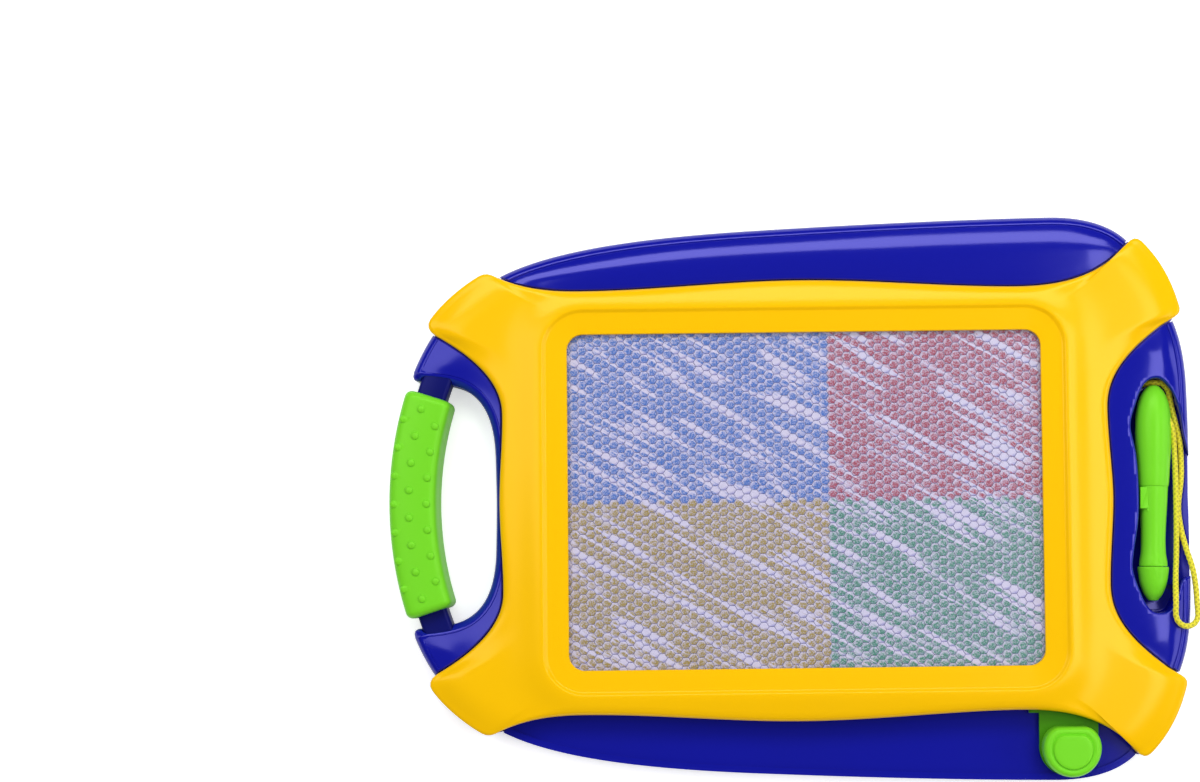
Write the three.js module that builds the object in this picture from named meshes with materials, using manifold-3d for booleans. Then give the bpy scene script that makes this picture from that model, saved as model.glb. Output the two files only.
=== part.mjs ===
// Magnetic drawing board: a four-colour sketch screen in a moulded toy housing.
// Millimetres. The board lies on its back: +X to the pen side, +Y up the screen, +Z out of the screen.
// The origin is under the middle of the board, on the surface that it lies on.

import * as THREE from 'three';
import { mergeVertices } from 'three/addons/utils/BufferGeometryUtils.js';
import Module from 'manifold-3d';

const wasm = await Module();
wasm.setup();

// Overall sizes
const boardLength = 378;
const boardWidth = 267;
const halfLength = boardLength / 2;
const halfWidth = boardWidth / 2;

// Widths of the housing round the screen's window, which takes the room that they leave
const leftBorder = 84.5;
const rightBorder = 70.5;
const bandBorder = 54.6;
const windowWidth = boardLength - leftBorder - rightBorder;
const windowHeight = boardWidth - 2 * bandBorder;
const windowShift = (leftBorder - rightBorder) / 2;
const windowCornerRadius = 7.5;

// Plastic and clearances
const wall = 2.2;
const seatGap = 0.3;
const slideGap = 0.8;
const screwGap = 0.3;
const cutOverrun = 3;
const facetLength = 13;
const mergeTolerance = 1e-4;
const flatArea = 1;

// Heights of the housing, from the surface under the board
const rearDepth = 7;
const deckHeight = 16.4;
const shoulderHeight = 18;
const domeRise = 2;
const edgeWallHeight = 13.2;
const rearWall = 2.4;
const pawLedgeHeight = 8.7;
const channelFloorHeight = 9.5;
const channelLipHeight = 10.8;
const channelLipWidth = 3.2;
const bezelLipHeight = 22.3;
const bezelSlabHeight = 23.3;
const bezelRidgeHeight = 24.5;
const bezelFall = 2.6;
const bezelSlabWidth = 10.2;
const bezelStepWidth = 1.6;
const pawFall = 1.4;
const pawDrop = 0.6;
const knuckleWidth = 9;
const pawReachStart = 34;
const pawReachEnd = 58;
const domeReach = 11;
const creaseInset = 4.4;

const plastics = {
  yellow: new THREE.MeshStandardMaterial({ color: 0xffc800, roughness: 0.28, metalness: 0 }),
  blue: new THREE.MeshStandardMaterial({ color: 0x1014aa, roughness: 0.25, metalness: 0 }),
  green: new THREE.MeshStandardMaterial({ color: 0x73dc24, roughness: 0.35, metalness: 0 }),
};
const otherMaterials = {
  clearFilm: new THREE.MeshStandardMaterial({ color: 0xf2f2fa, roughness: 0.15, metalness: 0 }),
  honeycomb: new THREE.MeshStandardMaterial({ color: 0xccccde, roughness: 0.5, metalness: 0 }),
  backing: new THREE.MeshStandardMaterial({ color: 0xe8e8ee, roughness: 0.6, metalness: 0 }),
  ferrite: new THREE.MeshStandardMaterial({ color: 0x2b2b2e, roughness: 0.7, metalness: 0.1 }),
  steel: new THREE.MeshStandardMaterial({ color: 0xb4b6ba, roughness: 0.35, metalness: 1 }),
  braid: new THREE.MeshStandardMaterial({ color: 0xdbd11e, roughness: 0.85, metalness: 0 }),
};

const board = new THREE.Group();

// A place in shares of the window and of the borders round it: 1 is the window's edge and 2 the board's edge
function bordered(x, y) {
  const reach = (share, half, border) => (
    Math.sign(share) * (Math.min(Math.abs(share), 1) * half + Math.max(Math.abs(share) - 1, 0) * border));
  return new THREE.Vector2(
    windowShift + reach(x, windowWidth / 2, x < 0 ? leftBorder : rightBorder),
    reach(y, windowHeight / 2, bandBorder),
  );
}

// Adds a piece to its group under the name that a person would use for it
function addPiece(name, shape, material, parent = board) {
  const geometry = shape instanceof THREE.BufferGeometry ? shape : geometryOf(shape);
  geometry.computeVertexNormals();
  const mesh = new THREE.Mesh(geometry, material.clone());
  mesh.name = name;
  parent.add(mesh);
  return mesh;
}

// A closed mesh with merged vertices as a solid that can be joined and cut
function solidOf(geometry) {
  const bare = new THREE.BufferGeometry();
  bare.setAttribute('position', geometry.getAttribute('position').clone());
  if (geometry.index) bare.setIndex(geometry.index.clone());
  const merged = mergeVertices(bare, mergeTolerance);
  const vertProperties = Float32Array.from(merged.getAttribute('position').array);
  const triangles = Array.from(merged.index.array);
  const triVerts = Uint32Array.from(signedVolume(vertProperties, triangles) < 0 ? triangles.reverse() : triangles);
  return new wasm.Manifold(new wasm.Mesh({ numProp: 3, vertProperties, triVerts }));
}

function geometryOf(solid) {
  const mesh = solid.getMesh();
  const geometry = new THREE.BufferGeometry();
  geometry.setAttribute('position', new THREE.BufferAttribute(Float32Array.from(mesh.vertProperties), 3));
  geometry.setIndex(new THREE.BufferAttribute(Uint32Array.from(mesh.triVerts), 1));
  return geometry;
}

function signedVolume(positions, triangles) {
  const [a, b, c] = [new THREE.Vector3(), new THREE.Vector3(), new THREE.Vector3()];
  let volume = 0;
  for (let i = 0; i < triangles.length; i += 3) {
    a.fromArray(positions, 3 * triangles[i]);
    b.fromArray(positions, 3 * triangles[i + 1]);
    c.fromArray(positions, 3 * triangles[i + 2]);
    volume += a.dot(b.cross(c));
  }
  return volume;
}

const joined = (...solids) => solids.reduce((whole, next) => whole.add(next));
const cutBy = (solid, ...cutters) => cutters.reduce((left, next) => left.subtract(next), solid);

// A solid through rings of equally many points; looped rings close on themselves like a picture frame
function loft(rings, { looped = false } = {}) {
  const count = rings[0].length;
  const positions = rings.flat().flatMap((p) => [p.x, p.y, p.z]);
  const index = [];
  const bands = looped ? rings.length : rings.length - 1;
  for (let j = 0; j < bands; j += 1) {
    for (let i = 0; i < count; i += 1) {
      const next = (i + 1) % count;
      const above = ((j + 1) % rings.length) * count;
      index.push(j * count + i, j * count + next, above + next);
      index.push(j * count + i, above + next, above + i);
    }
  }
  if (!looped) {
    const widest = rings.reduce((best, ring) => (planArea(ring) > planArea(best) ? ring : best));
    const offset = (rings.length - 1) * count;
    for (const [u, v, w] of capTriangles(widest)) {
      index.push(w, v, u, offset + u, offset + v, offset + w);
    }
  }
  const geometry = new THREE.BufferGeometry();
  geometry.setAttribute('position', new THREE.Float32BufferAttribute(positions, 3));
  geometry.setIndex(index);
  return solidOf(geometry);
}

const planOf = (ring) => ring.map((p) => new THREE.Vector2(p.x, p.y));
const planArea = (ring) => Math.abs(THREE.ShapeUtils.area(planOf(ring)));

// Triangles over a ring, in plan where it lies flat and as a fan where it stands up
function capTriangles(ring) {
  if (planArea(ring) < flatArea) return ring.slice(2).map((_, i) => [0, i + 1, i + 2]);
  return THREE.ShapeUtils.triangulateShape(planOf(ring), []);
}

const ringAt = (points, z) => points.map((p) => new THREE.Vector3(p.x, p.y, z));
const prism = (points, bottom, top) => loft([ringAt(points, bottom), ringAt(points, top)]);

function block(x0, x1, y0, y1, z0, z1) {
  const geometry = new THREE.BoxGeometry(x1 - x0, y1 - y0, z1 - z0);
  return solidOf(geometry.translate((x0 + x1) / 2, (y0 + y1) / 2, (z0 + z1) / 2));
}

function post(x, y, radius, bottom, top, sides = 12) {
  const geometry = new THREE.CylinderGeometry(radius, radius, top - bottom, sides);
  return solidOf(geometry.rotateX(Math.PI / 2).translate(x, y, (bottom + top) / 2));
}

// Moves each point of an anticlockwise ring inwards, or outwards for a negative distance
function inset(points, distance) {
  const moved = points.map((p, i) => {
    const before = points[(i + points.length - 1) % points.length];
    const after = points[(i + 1) % points.length];
    const along = after.clone().sub(before).normalize();
    return new THREE.Vector2(p.x - along.y * distance, p.y + along.x * distance);
  });
  moved.forEach((p, i) => {
    const j = (i + 1) % points.length;
    const edge = points[j].clone().sub(points[i]);
    if (moved[j].clone().sub(p).dot(edge) > 0) return;
    const middle = p.clone().add(moved[j]).multiplyScalar(0.5);
    moved[i] = middle.clone().addScaledVector(edge, -0.01);
    moved[j] = middle.clone().addScaledVector(edge, 0.01);
  });
  return moved;
}

// The same ring with the points left out that would fold over one another in a notch or a tight corner
function shrunk(points, distance) {
  const moved = inset(points, distance);
  let kept = points.map((from, i) => ({ from, to: moved[i] }));
  for (;;) {
    const forward = kept.map((a, i) => {
      const b = kept[(i + 1) % kept.length];
      const edge = b.from.clone().sub(a.from);
      return b.to.clone().sub(a.to).dot(edge) > 0.1 * edge.lengthSq();
    });
    const good = kept.filter((_, i) => forward[i] && forward[(i + kept.length - 1) % kept.length]);
    if (good.length === kept.length) return kept.map(({ to }) => to);
    kept = good;
  }
}

// An outline that is alike above and below the middle: curves from the right end over the top to the left end
function mirroredOutline(shares) {
  const upper = [];
  let from = bordered(...shares[0]);
  for (const [ax, ay, bx, by, x, y] of shares.slice(1)) {
    const curve = new THREE.CubicBezierCurve(from, bordered(ax, ay), bordered(bx, by), bordered(x, y));
    const steps = THREE.MathUtils.clamp(Math.ceil(curve.getLength() / facetLength), 2, 7);
    upper.push(...curve.getPoints(steps).slice(0, -1));
    from = bordered(x, y);
  }
  upper.push(from);
  const lower = upper.slice(1, -1).reverse().map((p) => new THREE.Vector2(p.x, -p.y));
  return [...upper, ...lower];
}

function roundedRectangle(centreX, halfX, halfY, radius, cornerSteps = 6) {
  const points = [];
  [[1, 1], [-1, 1], [-1, -1], [1, -1]].forEach(([sx, sy], quarter) => {
    for (let i = 0; i <= cornerSteps; i += 1) {
      const angle = (quarter + i / cornerSteps) * (Math.PI / 2);
      const x = centreX + sx * (halfX - radius) + radius * Math.cos(angle);
      points.push(new THREE.Vector2(x, sy * (halfY - radius) + radius * Math.sin(angle)));
    }
  });
  return points;
}

// Outlines in shares of the window and its borders: two control points and an end point a row
const bezelOutlineShares = [
  [1.477, 0],
  [1.475, 0.178, 1.448, 0.355, 1.448, 0.533],
  [1.448, 0.709, 1.560, 0.849, 1.823, 1.034],
  [1.858, 1.061, 1.887, 1.083, 1.914, 1.105],
  [1.952, 1.134, 1.957, 1.166, 1.941, 1.222],
  [1.893, 1.443, 1.815, 1.623, 1.702, 1.768],
  [1.670, 1.807, 1.638, 1.804, 1.603, 1.751],
  [1.448, 1.513, 1.220, 1.379, 0.897, 1.381],
  [0.610, 1.384, 0.297, 1.457, -0.019, 1.457],
  [-0.332, 1.457, -0.600, 1.386, -0.915, 1.381],
  [-1.112, 1.377, -1.266, 1.423, -1.396, 1.518],
  [-1.432, 1.550, -1.461, 1.557, -1.490, 1.533],
  [-1.586, 1.450, -1.705, 1.296, -1.767, 1.156],
  [-1.788, 1.112, -1.781, 1.056, -1.741, 1.017],
  [-1.539, 0.887, -1.367, 0.734, -1.367, 0.533],
  [-1.365, 0.355, -1.385, 0.178, -1.385, 0],
];
const shellOutlineShares = [
  [1.997, 0],
  [2.003, 0.254, 2.000, 0.508, 1.992, 0.697],
  [1.981, 0.861, 1.949, 0.976, 1.909, 1.086],
  [1.920, 1.105, 1.941, 1.149, 1.930, 1.222],
  [1.885, 1.435, 1.807, 1.614, 1.694, 1.755],
  [1.668, 1.787, 1.638, 1.797, 1.611, 1.787],
  [1.517, 1.910, 1.349, 2.000, 1.091, 2.000],
  [0.610, 1.990, 0.161, 1.951, -0.259, 1.907],
  [-0.690, 1.858, -1.101, 1.763, -1.392, 1.526],
  [-1.430, 1.543, -1.459, 1.543, -1.486, 1.518],
  [-1.580, 1.438, -1.694, 1.284, -1.756, 1.149],
  [-1.767, 1.120, -1.765, 1.076, -1.754, 1.042],
  [-1.799, 0.963, -1.846, 0.861, -1.868, 0.800],
  [-1.881, 0.753, -1.866, 0.738, -1.826, 0.739],
  [-1.705, 0.729, -1.615, 0.717, -1.550, 0.665],
  [-1.461, 0.596, -1.418, 0.469, -1.414, 0.279],
  [-1.412, 0.178, -1.410, 0.088, -1.410, 0],
];
const bezelOutline = mirroredOutline(bezelOutlineShares);
const shellOutline = mirroredOutline(shellOutlineShares);

// Corner zones where the bezel's paws reach down over the shell
const rightPawStartShares = [1.606, 1.022];
const leftPawStartShares = [-1.37, 0.99];

function pawZones(bottom, top, grow = 0) {
  const zones = [];
  for (const side of [1, -1]) {
    const outX = halfLength + cutOverrun;
    const span = (y) => [side * (y - grow), side * (halfWidth + cutOverrun)].sort((a, b) => a - b);
    const right = bordered(...rightPawStartShares);
    const left = bordered(...leftPawStartShares);
    zones.push(block(right.x - grow, outX, ...span(right.y), bottom, top));
    zones.push(block(-outX, left.x + grow, ...span(left.y), bottom, top));
  }
  return joined(...zones);
}

// The point of the window's edge nearest to an outline point, and the way from it to that point
function windowPoint(p) {
  const flatX = windowWidth / 2 - windowCornerRadius;
  const flatY = windowHeight / 2 - windowCornerRadius;
  const core = new THREE.Vector2(
    windowShift + THREE.MathUtils.clamp(p.x - windowShift, -flatX, flatX),
    THREE.MathUtils.clamp(p.y, -flatY, flatY),
  );
  const way = p.clone().sub(core);
  const reach = way.length() - windowCornerRadius;
  way.normalize();
  return { edge: core.addScaledVector(way, windowCornerRadius), way, reach };
}

// Yellow bezel: a hollow frame lofted from the window's edge out to the paws
function frontBezel() {
  const spokes = bezelOutline.map(windowPoint);
  const ridgeAt = bezelSlabWidth + bezelStepWidth;
  const pawness = (spoke) => THREE.MathUtils.smoothstep(spoke.reach, pawReachStart, pawReachEnd);
  const surface = (spoke, distance) => {
    const share = (distance - ridgeAt) / (spoke.reach - ridgeAt);
    return bezelRidgeHeight - (bezelFall + pawFall * pawness(spoke)) * share * share;
  };
  const ring = (distanceOf, heightOf) => spokes.map((spoke) => {
    const distance = distanceOf(spoke);
    const p = spoke.edge.clone().addScaledVector(spoke.way, distance);
    return new THREE.Vector3(p.x, p.y, heightOf(spoke, distance));
  });
  const rimRadius = 1.4 * wall;
  const fromRim = (back) => (spoke) => spoke.reach - back;
  const rings = [
    ring(() => 0, () => bezelLipHeight),
    ring(() => bezelSlabWidth, () => bezelSlabHeight),
    ring(() => ridgeAt, () => bezelRidgeHeight),
    ring((s) => ridgeAt + 0.4 * (s.reach - ridgeAt), surface),
    ring((s) => s.reach - knuckleWidth * (0.5 + 0.5 * pawness(s)), surface),
    ring(fromRim(rimRadius), (s, d) => surface(s, d) - pawDrop * pawness(s)),
    ring(fromRim(0.3 * rimRadius), (s, d) => surface(s, d) - 0.4 * rimRadius - pawDrop * pawness(s)),
    ring(fromRim(0), (s, d) => surface(s, d) - rimRadius * (1 - 0.35 * pawness(s)) - pawDrop * pawness(s)),
    ring(fromRim(0), () => deckHeight + seatGap),
    ring(fromRim(wall), () => deckHeight + seatGap),
    ring(fromRim(wall), (s, d) => Math.max(surface(s, d) - 1.6 * wall, deckHeight + 2 * seatGap)),
    ring((s) => Math.max(s.reach - knuckleWidth, ridgeAt + 1.5 * wall), (s, d) => surface(s, d) - wall),
    ring(() => ridgeAt + wall, (s, d) => surface(s, d) - wall),
    ring(() => screenMargin + wall, () => screenTop + seatGap),
    ring(() => 0, () => screenTop + seatGap),
  ];
  const frame = loft(rings, { looped: true });
  const skirt = cutBy(
    prism(bezelOutline, pawLedgeHeight + seatGap, deckHeight + wall),
    prism(shrunk(bezelOutline, wall), 0, deckHeight + 2 * wall),
  ).intersect(pawZones(0, deckHeight + 2 * wall));
  const bosses = [
    ...frameScrewPlaces().map(([x, y]) => post(x, y, bezelBossRadius, deckHeight + seatGap, bezelLipHeight)),
    ...pawScrewPlaces().map(([x, y]) => post(x, y, bossRadius, pawLedgeHeight + seatGap, deckHeight + 1.4 * wall)),
  ];
  const bores = [
    ...frameScrewPlaces().map(([x, y]) => (
      post(x, y, screwShankRadius + screwGap, deckHeight, frameScrewTop + seatGap, 8))),
    ...pawScrewPlaces().map(([x, y]) => (
      post(x, y, screwShankRadius + screwGap, rearDepth, pawScrewTop + seatGap, 8))),
  ];
  return cutBy(joined(frame, skirt, ...bosses), ...bores);
}

// Screen sandwich and the frame that holds it up against the bezel
const screenMargin = 6;
const backingThickness = 0.6;
const honeycombThickness = 1.6;
const filmThickness = 0.4;
const backingBottom = deckHeight + seatGap;
const honeycombBottom = backingBottom + backingThickness + seatGap;
const filmBottom = honeycombBottom + honeycombThickness + seatGap;
const screenTop = filmBottom + filmThickness;
const frameRailWidth = 6.5;
const frameEndWidth = 6;
const frameThickness = 2.2;
const screwHeadRadius = 2.6;
const screwHeadHeight = 1.6;
const screwShankRadius = 1.25;
const bossRadius = 3.6;
const bezelBossRadius = 3;
const counterboreRadius = screwHeadRadius + screwGap;
const frameScrewHeadHeight = 1;
const frameScrewTop = bezelLipHeight - wall;
const pawScrewTop = deckHeight;
const frameRailInset = 2.6;

// Eraser: a bar under the screen, its magnet strip, and the arm that carries the knob
const barWidth = 12;
const barEndMargin = 7.1;
const barHalfSpan = windowHeight / 2 + barEndMargin;
const barBottom = 8.1;
const barTop = 13.5;
const grooveDepth = 1;
const magnetWidth = 9;
const magnetThickness = 3.2;
const magnetEndGap = 1;
const travelMargin = 7.5;
const eraserTravel = windowWidth + 2 * travelMargin;
const barRestX = windowShift + eraserTravel / 2;
const armThickness = 2.4;
const armLeft = -10;
const armWidth = 27.8;
const footLeft = -14.7;
const footDepth = 15.6;
const knobRadius = 13.7;
const knobEdgeMargin = 2.1;
const knobFlatRise = 9.9;
const knobCentreY = knobRadius + knobEdgeMargin - halfWidth;
const knobFlatY = knobCentreY + knobFlatRise;
const knobCentreOffset = 4.4;
const knobTop = 24.4;
const knobPadShare = 0.66;
const knobPadRise = 0.8;
const knobEdgeDepth = 3.4;
const knobEdgeLow = 1.6;
const knobEdgeHigh = 2.8;
const tongueShift = 0.8;

const frameInnerX = (eraserTravel + barWidth) / 2 + slideGap;
const frameOuterX = frameInnerX + frameEndWidth;
const frameInnerY = windowHeight / 2 + frameRailInset;
const frameOuterY = frameInnerY + frameRailWidth;

function frameScrewPlaces() {
  const x = frameInnerX + frameEndWidth / 2;
  const y = frameInnerY + frameRailWidth / 2;
  return [[1, 1], [-1, 1], [-1, -1], [1, -1]].map(([sx, sy]) => [windowShift + sx * x, sy * y]);
}

function screenSheet(bottom, thickness) {
  const outline = roundedRectangle(
    windowShift, windowWidth / 2 + screenMargin, windowHeight / 2 + screenMargin, windowCornerRadius / 2);
  return prism(outline, bottom, bottom + thickness);
}

function screenFrame() {
  const bottom = deckHeight - frameThickness;
  const outer = roundedRectangle(windowShift, frameOuterX, frameOuterY, wall);
  const inner = roundedRectangle(windowShift, frameInnerX, frameInnerY, wall / 2);
  const holes = frameScrewPlaces().flatMap(([x, y]) => [
    post(x, y, screwShankRadius + screwGap, bottom - cutOverrun, deckHeight + cutOverrun, 8),
    post(x, y, counterboreRadius, bottom - cutOverrun, bottom + frameScrewHeadHeight + 2 * seatGap, 8),
  ]);
  return cutBy(prism(outer, bottom, deckHeight), prism(inner, bottom - cutOverrun, deckHeight + cutOverrun), ...holes);
}

// Knob outline: a half circle below and a flat side with rounded corners towards the bezel
function knobOutline(scale, steps = 12) {
  const centreX = barRestX + knobCentreOffset;
  const middleY = (knobFlatY + knobCentreY - knobRadius) / 2;
  const points = [];
  for (let i = 0; i <= steps; i += 1) {
    const angle = Math.PI + (i / steps) * Math.PI;
    points.push([knobRadius * Math.cos(angle), knobCentreY + knobRadius * Math.sin(angle)]);
  }
  const rise = knobFlatY - knobCentreY;
  const cornerX = 0.6 * knobRadius;
  for (const side of [1, -1]) {
    for (let i = 1; i <= steps / 2; i += 1) {
      const angle = (side > 0 ? i : steps / 2 + 1 - i) / (steps / 2 + 1) * (Math.PI / 2);
      const x = side * (knobRadius - cornerX * (1 - Math.cos(angle)));
      points.push([x, knobCentreY + rise * Math.sin(angle)]);
    }
  }
  return points.map(([x, y]) => new THREE.Vector2(centreX + scale * x, middleY + scale * (y - middleY)));
}

function eraserCarriage() {
  const half = barWidth / 2;
  const bar = block(barRestX - half, barRestX + half, -barHalfSpan, barHalfSpan, barBottom, barTop);
  const footX = barRestX + footLeft;
  const armX = barRestX + armLeft;
  const armEnd = armX + armWidth;
  const armBottom = barTop - armThickness;
  const foot = block(footX, armEnd, -barHalfSpan - footDepth, -barHalfSpan + 2 * wall, armBottom, barTop);
  const arm = block(armX, armEnd, knobCentreY, -barHalfSpan, armBottom, barTop);
  const tongue = prism(knobOutline(1).map((p) => new THREE.Vector2(p.x - tongueShift, p.y)), armBottom, barTop);
  const spigot = prism(knobOutline(knobPadShare), armBottom, knobTop - 2 * wall);
  const groove = block(
    barRestX - magnetWidth / 2 - seatGap, barRestX + magnetWidth / 2 + seatGap,
    -magnetHalfSpan - seatGap, magnetHalfSpan + seatGap, barTop - grooveDepth, barTop + cutOverrun);
  return cutBy(joined(bar, foot, arm, tongue, spigot), groove);
}
const magnetHalfSpan = windowHeight / 2 - magnetEndGap;

function eraserMagnet() {
  const outline = roundedRectangle(barRestX, magnetWidth / 2, magnetHalfSpan, magnetWidth / 6, 2);
  const bottom = barTop - grooveDepth + seatGap;
  return prism(outline, bottom, bottom + magnetThickness);
}

// The knob is a cap with a rounded top edge and a raised pad, pressed over the arm's spigot
function eraserKnob() {
  const bottom = barTop + seatGap;
  const edge = knobTop - knobEdgeDepth;
  const rings = [
    ringAt(knobOutline(1.01), bottom),
    ringAt(knobOutline(1), edge),
    ringAt(knobOutline(0.97), edge + knobEdgeLow),
    ringAt(knobOutline(0.9), edge + knobEdgeHigh),
    ringAt(knobOutline(0.8), knobTop),
    ringAt(knobOutline(0.72), knobTop),
    ringAt(knobOutline(knobPadShare), knobTop + knobPadRise),
  ];
  const socket = prism(shrunk(knobOutline(knobPadShare), -seatGap), 0, knobTop - 2 * wall + seatGap);
  return cutBy(loft(rings), socket);
}

// Handle: a curved bar held in the lugs, and two grip halves round it
const lugPlaceShares = [-1.7, 0.8365];
const lugInnerShare = 0.697;
const lugPlace = bordered(...lugPlaceShares);
const gripWidth = 22.5;
const gripEdgeInset = 0.4;
const gripLugGap = 4;
const handleOuterX = gripWidth / 2 + gripEdgeInset - halfLength;
const handleBarReach = lugPlace.y;
const handleRise = lugPlace.x - handleOuterX;
const handleRadius = (handleRise ** 2 + handleBarReach ** 2) / (2 * handleRise);
const handleCentreX = handleOuterX + handleRadius;
const gripHalfLength = (lugInnerShare * windowHeight) / 2 - gripLugGap;
const handleAngle = (reach) => THREE.MathUtils.radToDeg(Math.asin(reach / handleRadius));
const gripEndAngle = handleAngle(gripHalfLength);
const barDepthRadial = 14;
const barCorner = 2;
const handleBarBottom = 5.8;
const handleBarTop = 17.2;
const gripBottom = 2;
const gripTop = 25.3;
const gripMiddle = (gripBottom + gripTop) / 2;
const gripEndRound = 1.6;
const bumpRadius = 1.9;
const bumpHeight = 1;
const bumpPitch = 12.75;
const gripScrewInset = 19.3;
const gripScrewAngle = handleAngle(gripHalfLength - gripScrewInset);

function onHandle(angle, outward, z) {
  const turn = THREE.MathUtils.degToRad(angle);
  const radius = handleRadius + outward;
  return new THREE.Vector3(handleCentreX - radius * Math.cos(turn), radius * Math.sin(turn), z);
}

function handleSweep(section, angles, scaleOf = () => 1) {
  return loft(angles.map((angle) => section.map(([outward, z]) => {
    const scale = scaleOf(angle);
    return onHandle(angle, outward * scale, gripMiddle + (z - gripMiddle) * scale);
  })));
}

const evenAngles = (end, steps) => Array.from({ length: steps + 1 }, (_, i) => end * (2 * i / steps - 1));

function handleBarSolid(clearance, reachGap = 0) {
  const half = barDepthRadial / 2 + clearance;
  const [low, high] = [handleBarBottom - clearance, handleBarTop + clearance];
  const section = [
    [half, low + barCorner], [half, high - barCorner], [half - barCorner, high], [barCorner - half, high],
    [-half, high - barCorner], [-half, low + barCorner], [barCorner - half, low], [half - barCorner, low],
  ];
  const end = handleAngle(handleBarReach + reachGap);
  return handleSweep(section, evenAngles(end, 12));
}

const gripScrewPlaces = () => [-gripScrewAngle, gripScrewAngle].map((angle) => {
  const p = onHandle(angle, 0, 0);
  return [p.x, p.y];
});

// One grip half: its outer face has a flat back, rounded long edges and three rows of bumps
function gripHalf(facing) {
  const half = gripWidth / 2;
  const height = gripTop - gripMiddle;
  const z = (share) => gripMiddle + facing * (seatGap / 2 + share * (height - seatGap / 2));
  const section = [
    [half, z(0)], [half, z(0.48)], [0.92 * half, z(0.78)], [0.7 * half, z(0.96)], [0.4 * half, z(1)],
    [-0.62 * half, z(1)], [-0.84 * half, z(0.95)], [-0.96 * half, z(0.8)], [-half, z(0.5)], [-half, z(0)],
  ];
  const endRound = THREE.MathUtils.radToDeg(gripEndRound / handleRadius);
  const inner = gripEndAngle - endRound;
  const angles = [-gripEndAngle, ...evenAngles(inner, 12), gripEndAngle];
  const body = handleSweep(section, angles, (angle) => (Math.abs(angle) > inner ? 0.88 : 1));
  const count = Math.floor((2 * gripHalfLength + 2 * bumpRadius) / bumpPitch);
  const rows = [
    { outward: 0.73 * half, count: count - 1, share: 0.93 },
    { outward: 0.11 * half, count, share: 1 },
    { outward: -0.61 * half, count: count - 1, share: 1 },
  ];
  const pitchAngle = THREE.MathUtils.radToDeg(bumpPitch / handleRadius);
  const bumps = rows.flatMap(({ outward, count: rowCount, share }) => (
    Array.from({ length: rowCount }, (_, i) => {
      const place = onHandle((i - (rowCount - 1) / 2) * pitchAngle, outward, z(share));
      const ball = new THREE.SphereGeometry(bumpRadius, 7, 4).rotateX(Math.PI / 2);
      return solidOf(ball.scale(1, 1, bumpHeight / bumpRadius).translate(place.x, place.y, place.z));
    })));
  const screwHoles = gripScrewPlaces().flatMap(([x, y]) => (facing > 0
    ? [post(x, y, screwShankRadius + screwGap, gripMiddle - cutOverrun, gripScrewTop + seatGap, 8)]
    : [
      post(x, y, screwShankRadius + screwGap, gripBottom - cutOverrun, gripMiddle + cutOverrun, 8),
      post(x, y, counterboreRadius, gripBottom - cutOverrun, gripBottom + screwHeadHeight + screwGap, 8),
    ]));
  return cutBy(joined(body, ...bumps), handleBarSolid(seatGap), ...screwHoles);
}
const gripScrewTop = gripTop - 2 * wall;

function handleBar() {
  const holes = gripScrewPlaces().map(([x, y]) => (
    post(x, y, screwShankRadius + screwGap, handleBarBottom - cutOverrun, handleBarTop + cutOverrun, 8)));
  return cutBy(handleBarSolid(0), ...holes);
}

// Pen: its axis lies along Y in a group that is turned a little in the pocket
const penEdgeMargin = 17.1;
const penX = halfLength - penEdgeMargin;
const penY = 1.4;
const penZ = 13;
const penTurn = -1.11;
const penSides = 18;
const penHalfLength = 51.4;
const capRadius = 8.55;
const capFoot = 3.2;
const spigotRadius = 5;
const spigotLength = 12;
const noseSpigotRadius = 4.4;
const noseSpigotLength = 6;
const noseTop = -34.9;
const noseRadius = 7.35;
const tipRadius = 1.2;
const tipReach = 1.2;
const tipLength = 9;
const tipRound = 0.25;
const barrelCollar = 1.4;
const barrelNeckLow = 4.2;
const barrelNeckMiddle = 12.6;
const barrelNeckHigh = 22;
const barrelTopCollar = 2;
const lugLength = 10.4;
const hookLength = 2.6;
const hookOverhang = 1.2;

const lathe = (profile) => solidOf(
  new THREE.LatheGeometry(profile.map(([r, y]) => new THREE.Vector2(r, y)), penSides));

function penCap() {
  const length = penHalfLength - capFoot;
  const at = (radiusShare, lengthShare) => [capRadius * radiusShare, capFoot + length * lengthShare];
  return lathe([
    [0, capFoot + spigotLength + 2 * seatGap],
    [spigotRadius + seatGap, capFoot + spigotLength + 2 * seatGap],
    [spigotRadius + seatGap, capFoot],
    at(0.83, 0), at(0.855, 0.03), at(0.92, 0.22), at(0.98, 0.42), at(1, 0.59), at(0.965, 0.72),
    at(0.86, 0.835), at(0.66, 0.925), at(0.38, 0.982), [0, penHalfLength],
  ]);
}

function penBarrel() {
  const top = capFoot - seatGap;
  const bottom = noseTop + seatGap;
  const body = lathe([
    [0, bottom + noseSpigotLength + seatGap],
    [noseSpigotRadius + seatGap, bottom + noseSpigotLength + seatGap],
    [noseSpigotRadius + seatGap, bottom],
    [0.9 * noseRadius, bottom], [0.9 * noseRadius, bottom + barrelCollar],
    [0.84 * noseRadius, bottom + barrelNeckLow], [0.78 * noseRadius, bottom + barrelNeckMiddle],
    [0.83 * noseRadius, bottom + barrelNeckHigh], [0.93 * noseRadius, top - barrelTopCollar],
    [0.93 * noseRadius, top], [spigotRadius, top], [spigotRadius, top + spigotLength], [0, top + spigotLength],
  ]);
  const lugDepth = 0.78 * noseRadius;
  const lugEnd = top - lugLength;
  const lug = block(-0.95 * noseRadius, -0.46 * noseRadius, lugEnd, top - seatGap, 0, lugDepth);
  const hook = block(
    -0.5 * noseRadius, -0.4 * noseRadius, lugEnd - hookOverhang, lugEnd - hookOverhang + hookLength,
    lugDepth - hookOverhang, lugDepth);
  return joined(body, lug, hook);
}

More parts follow.
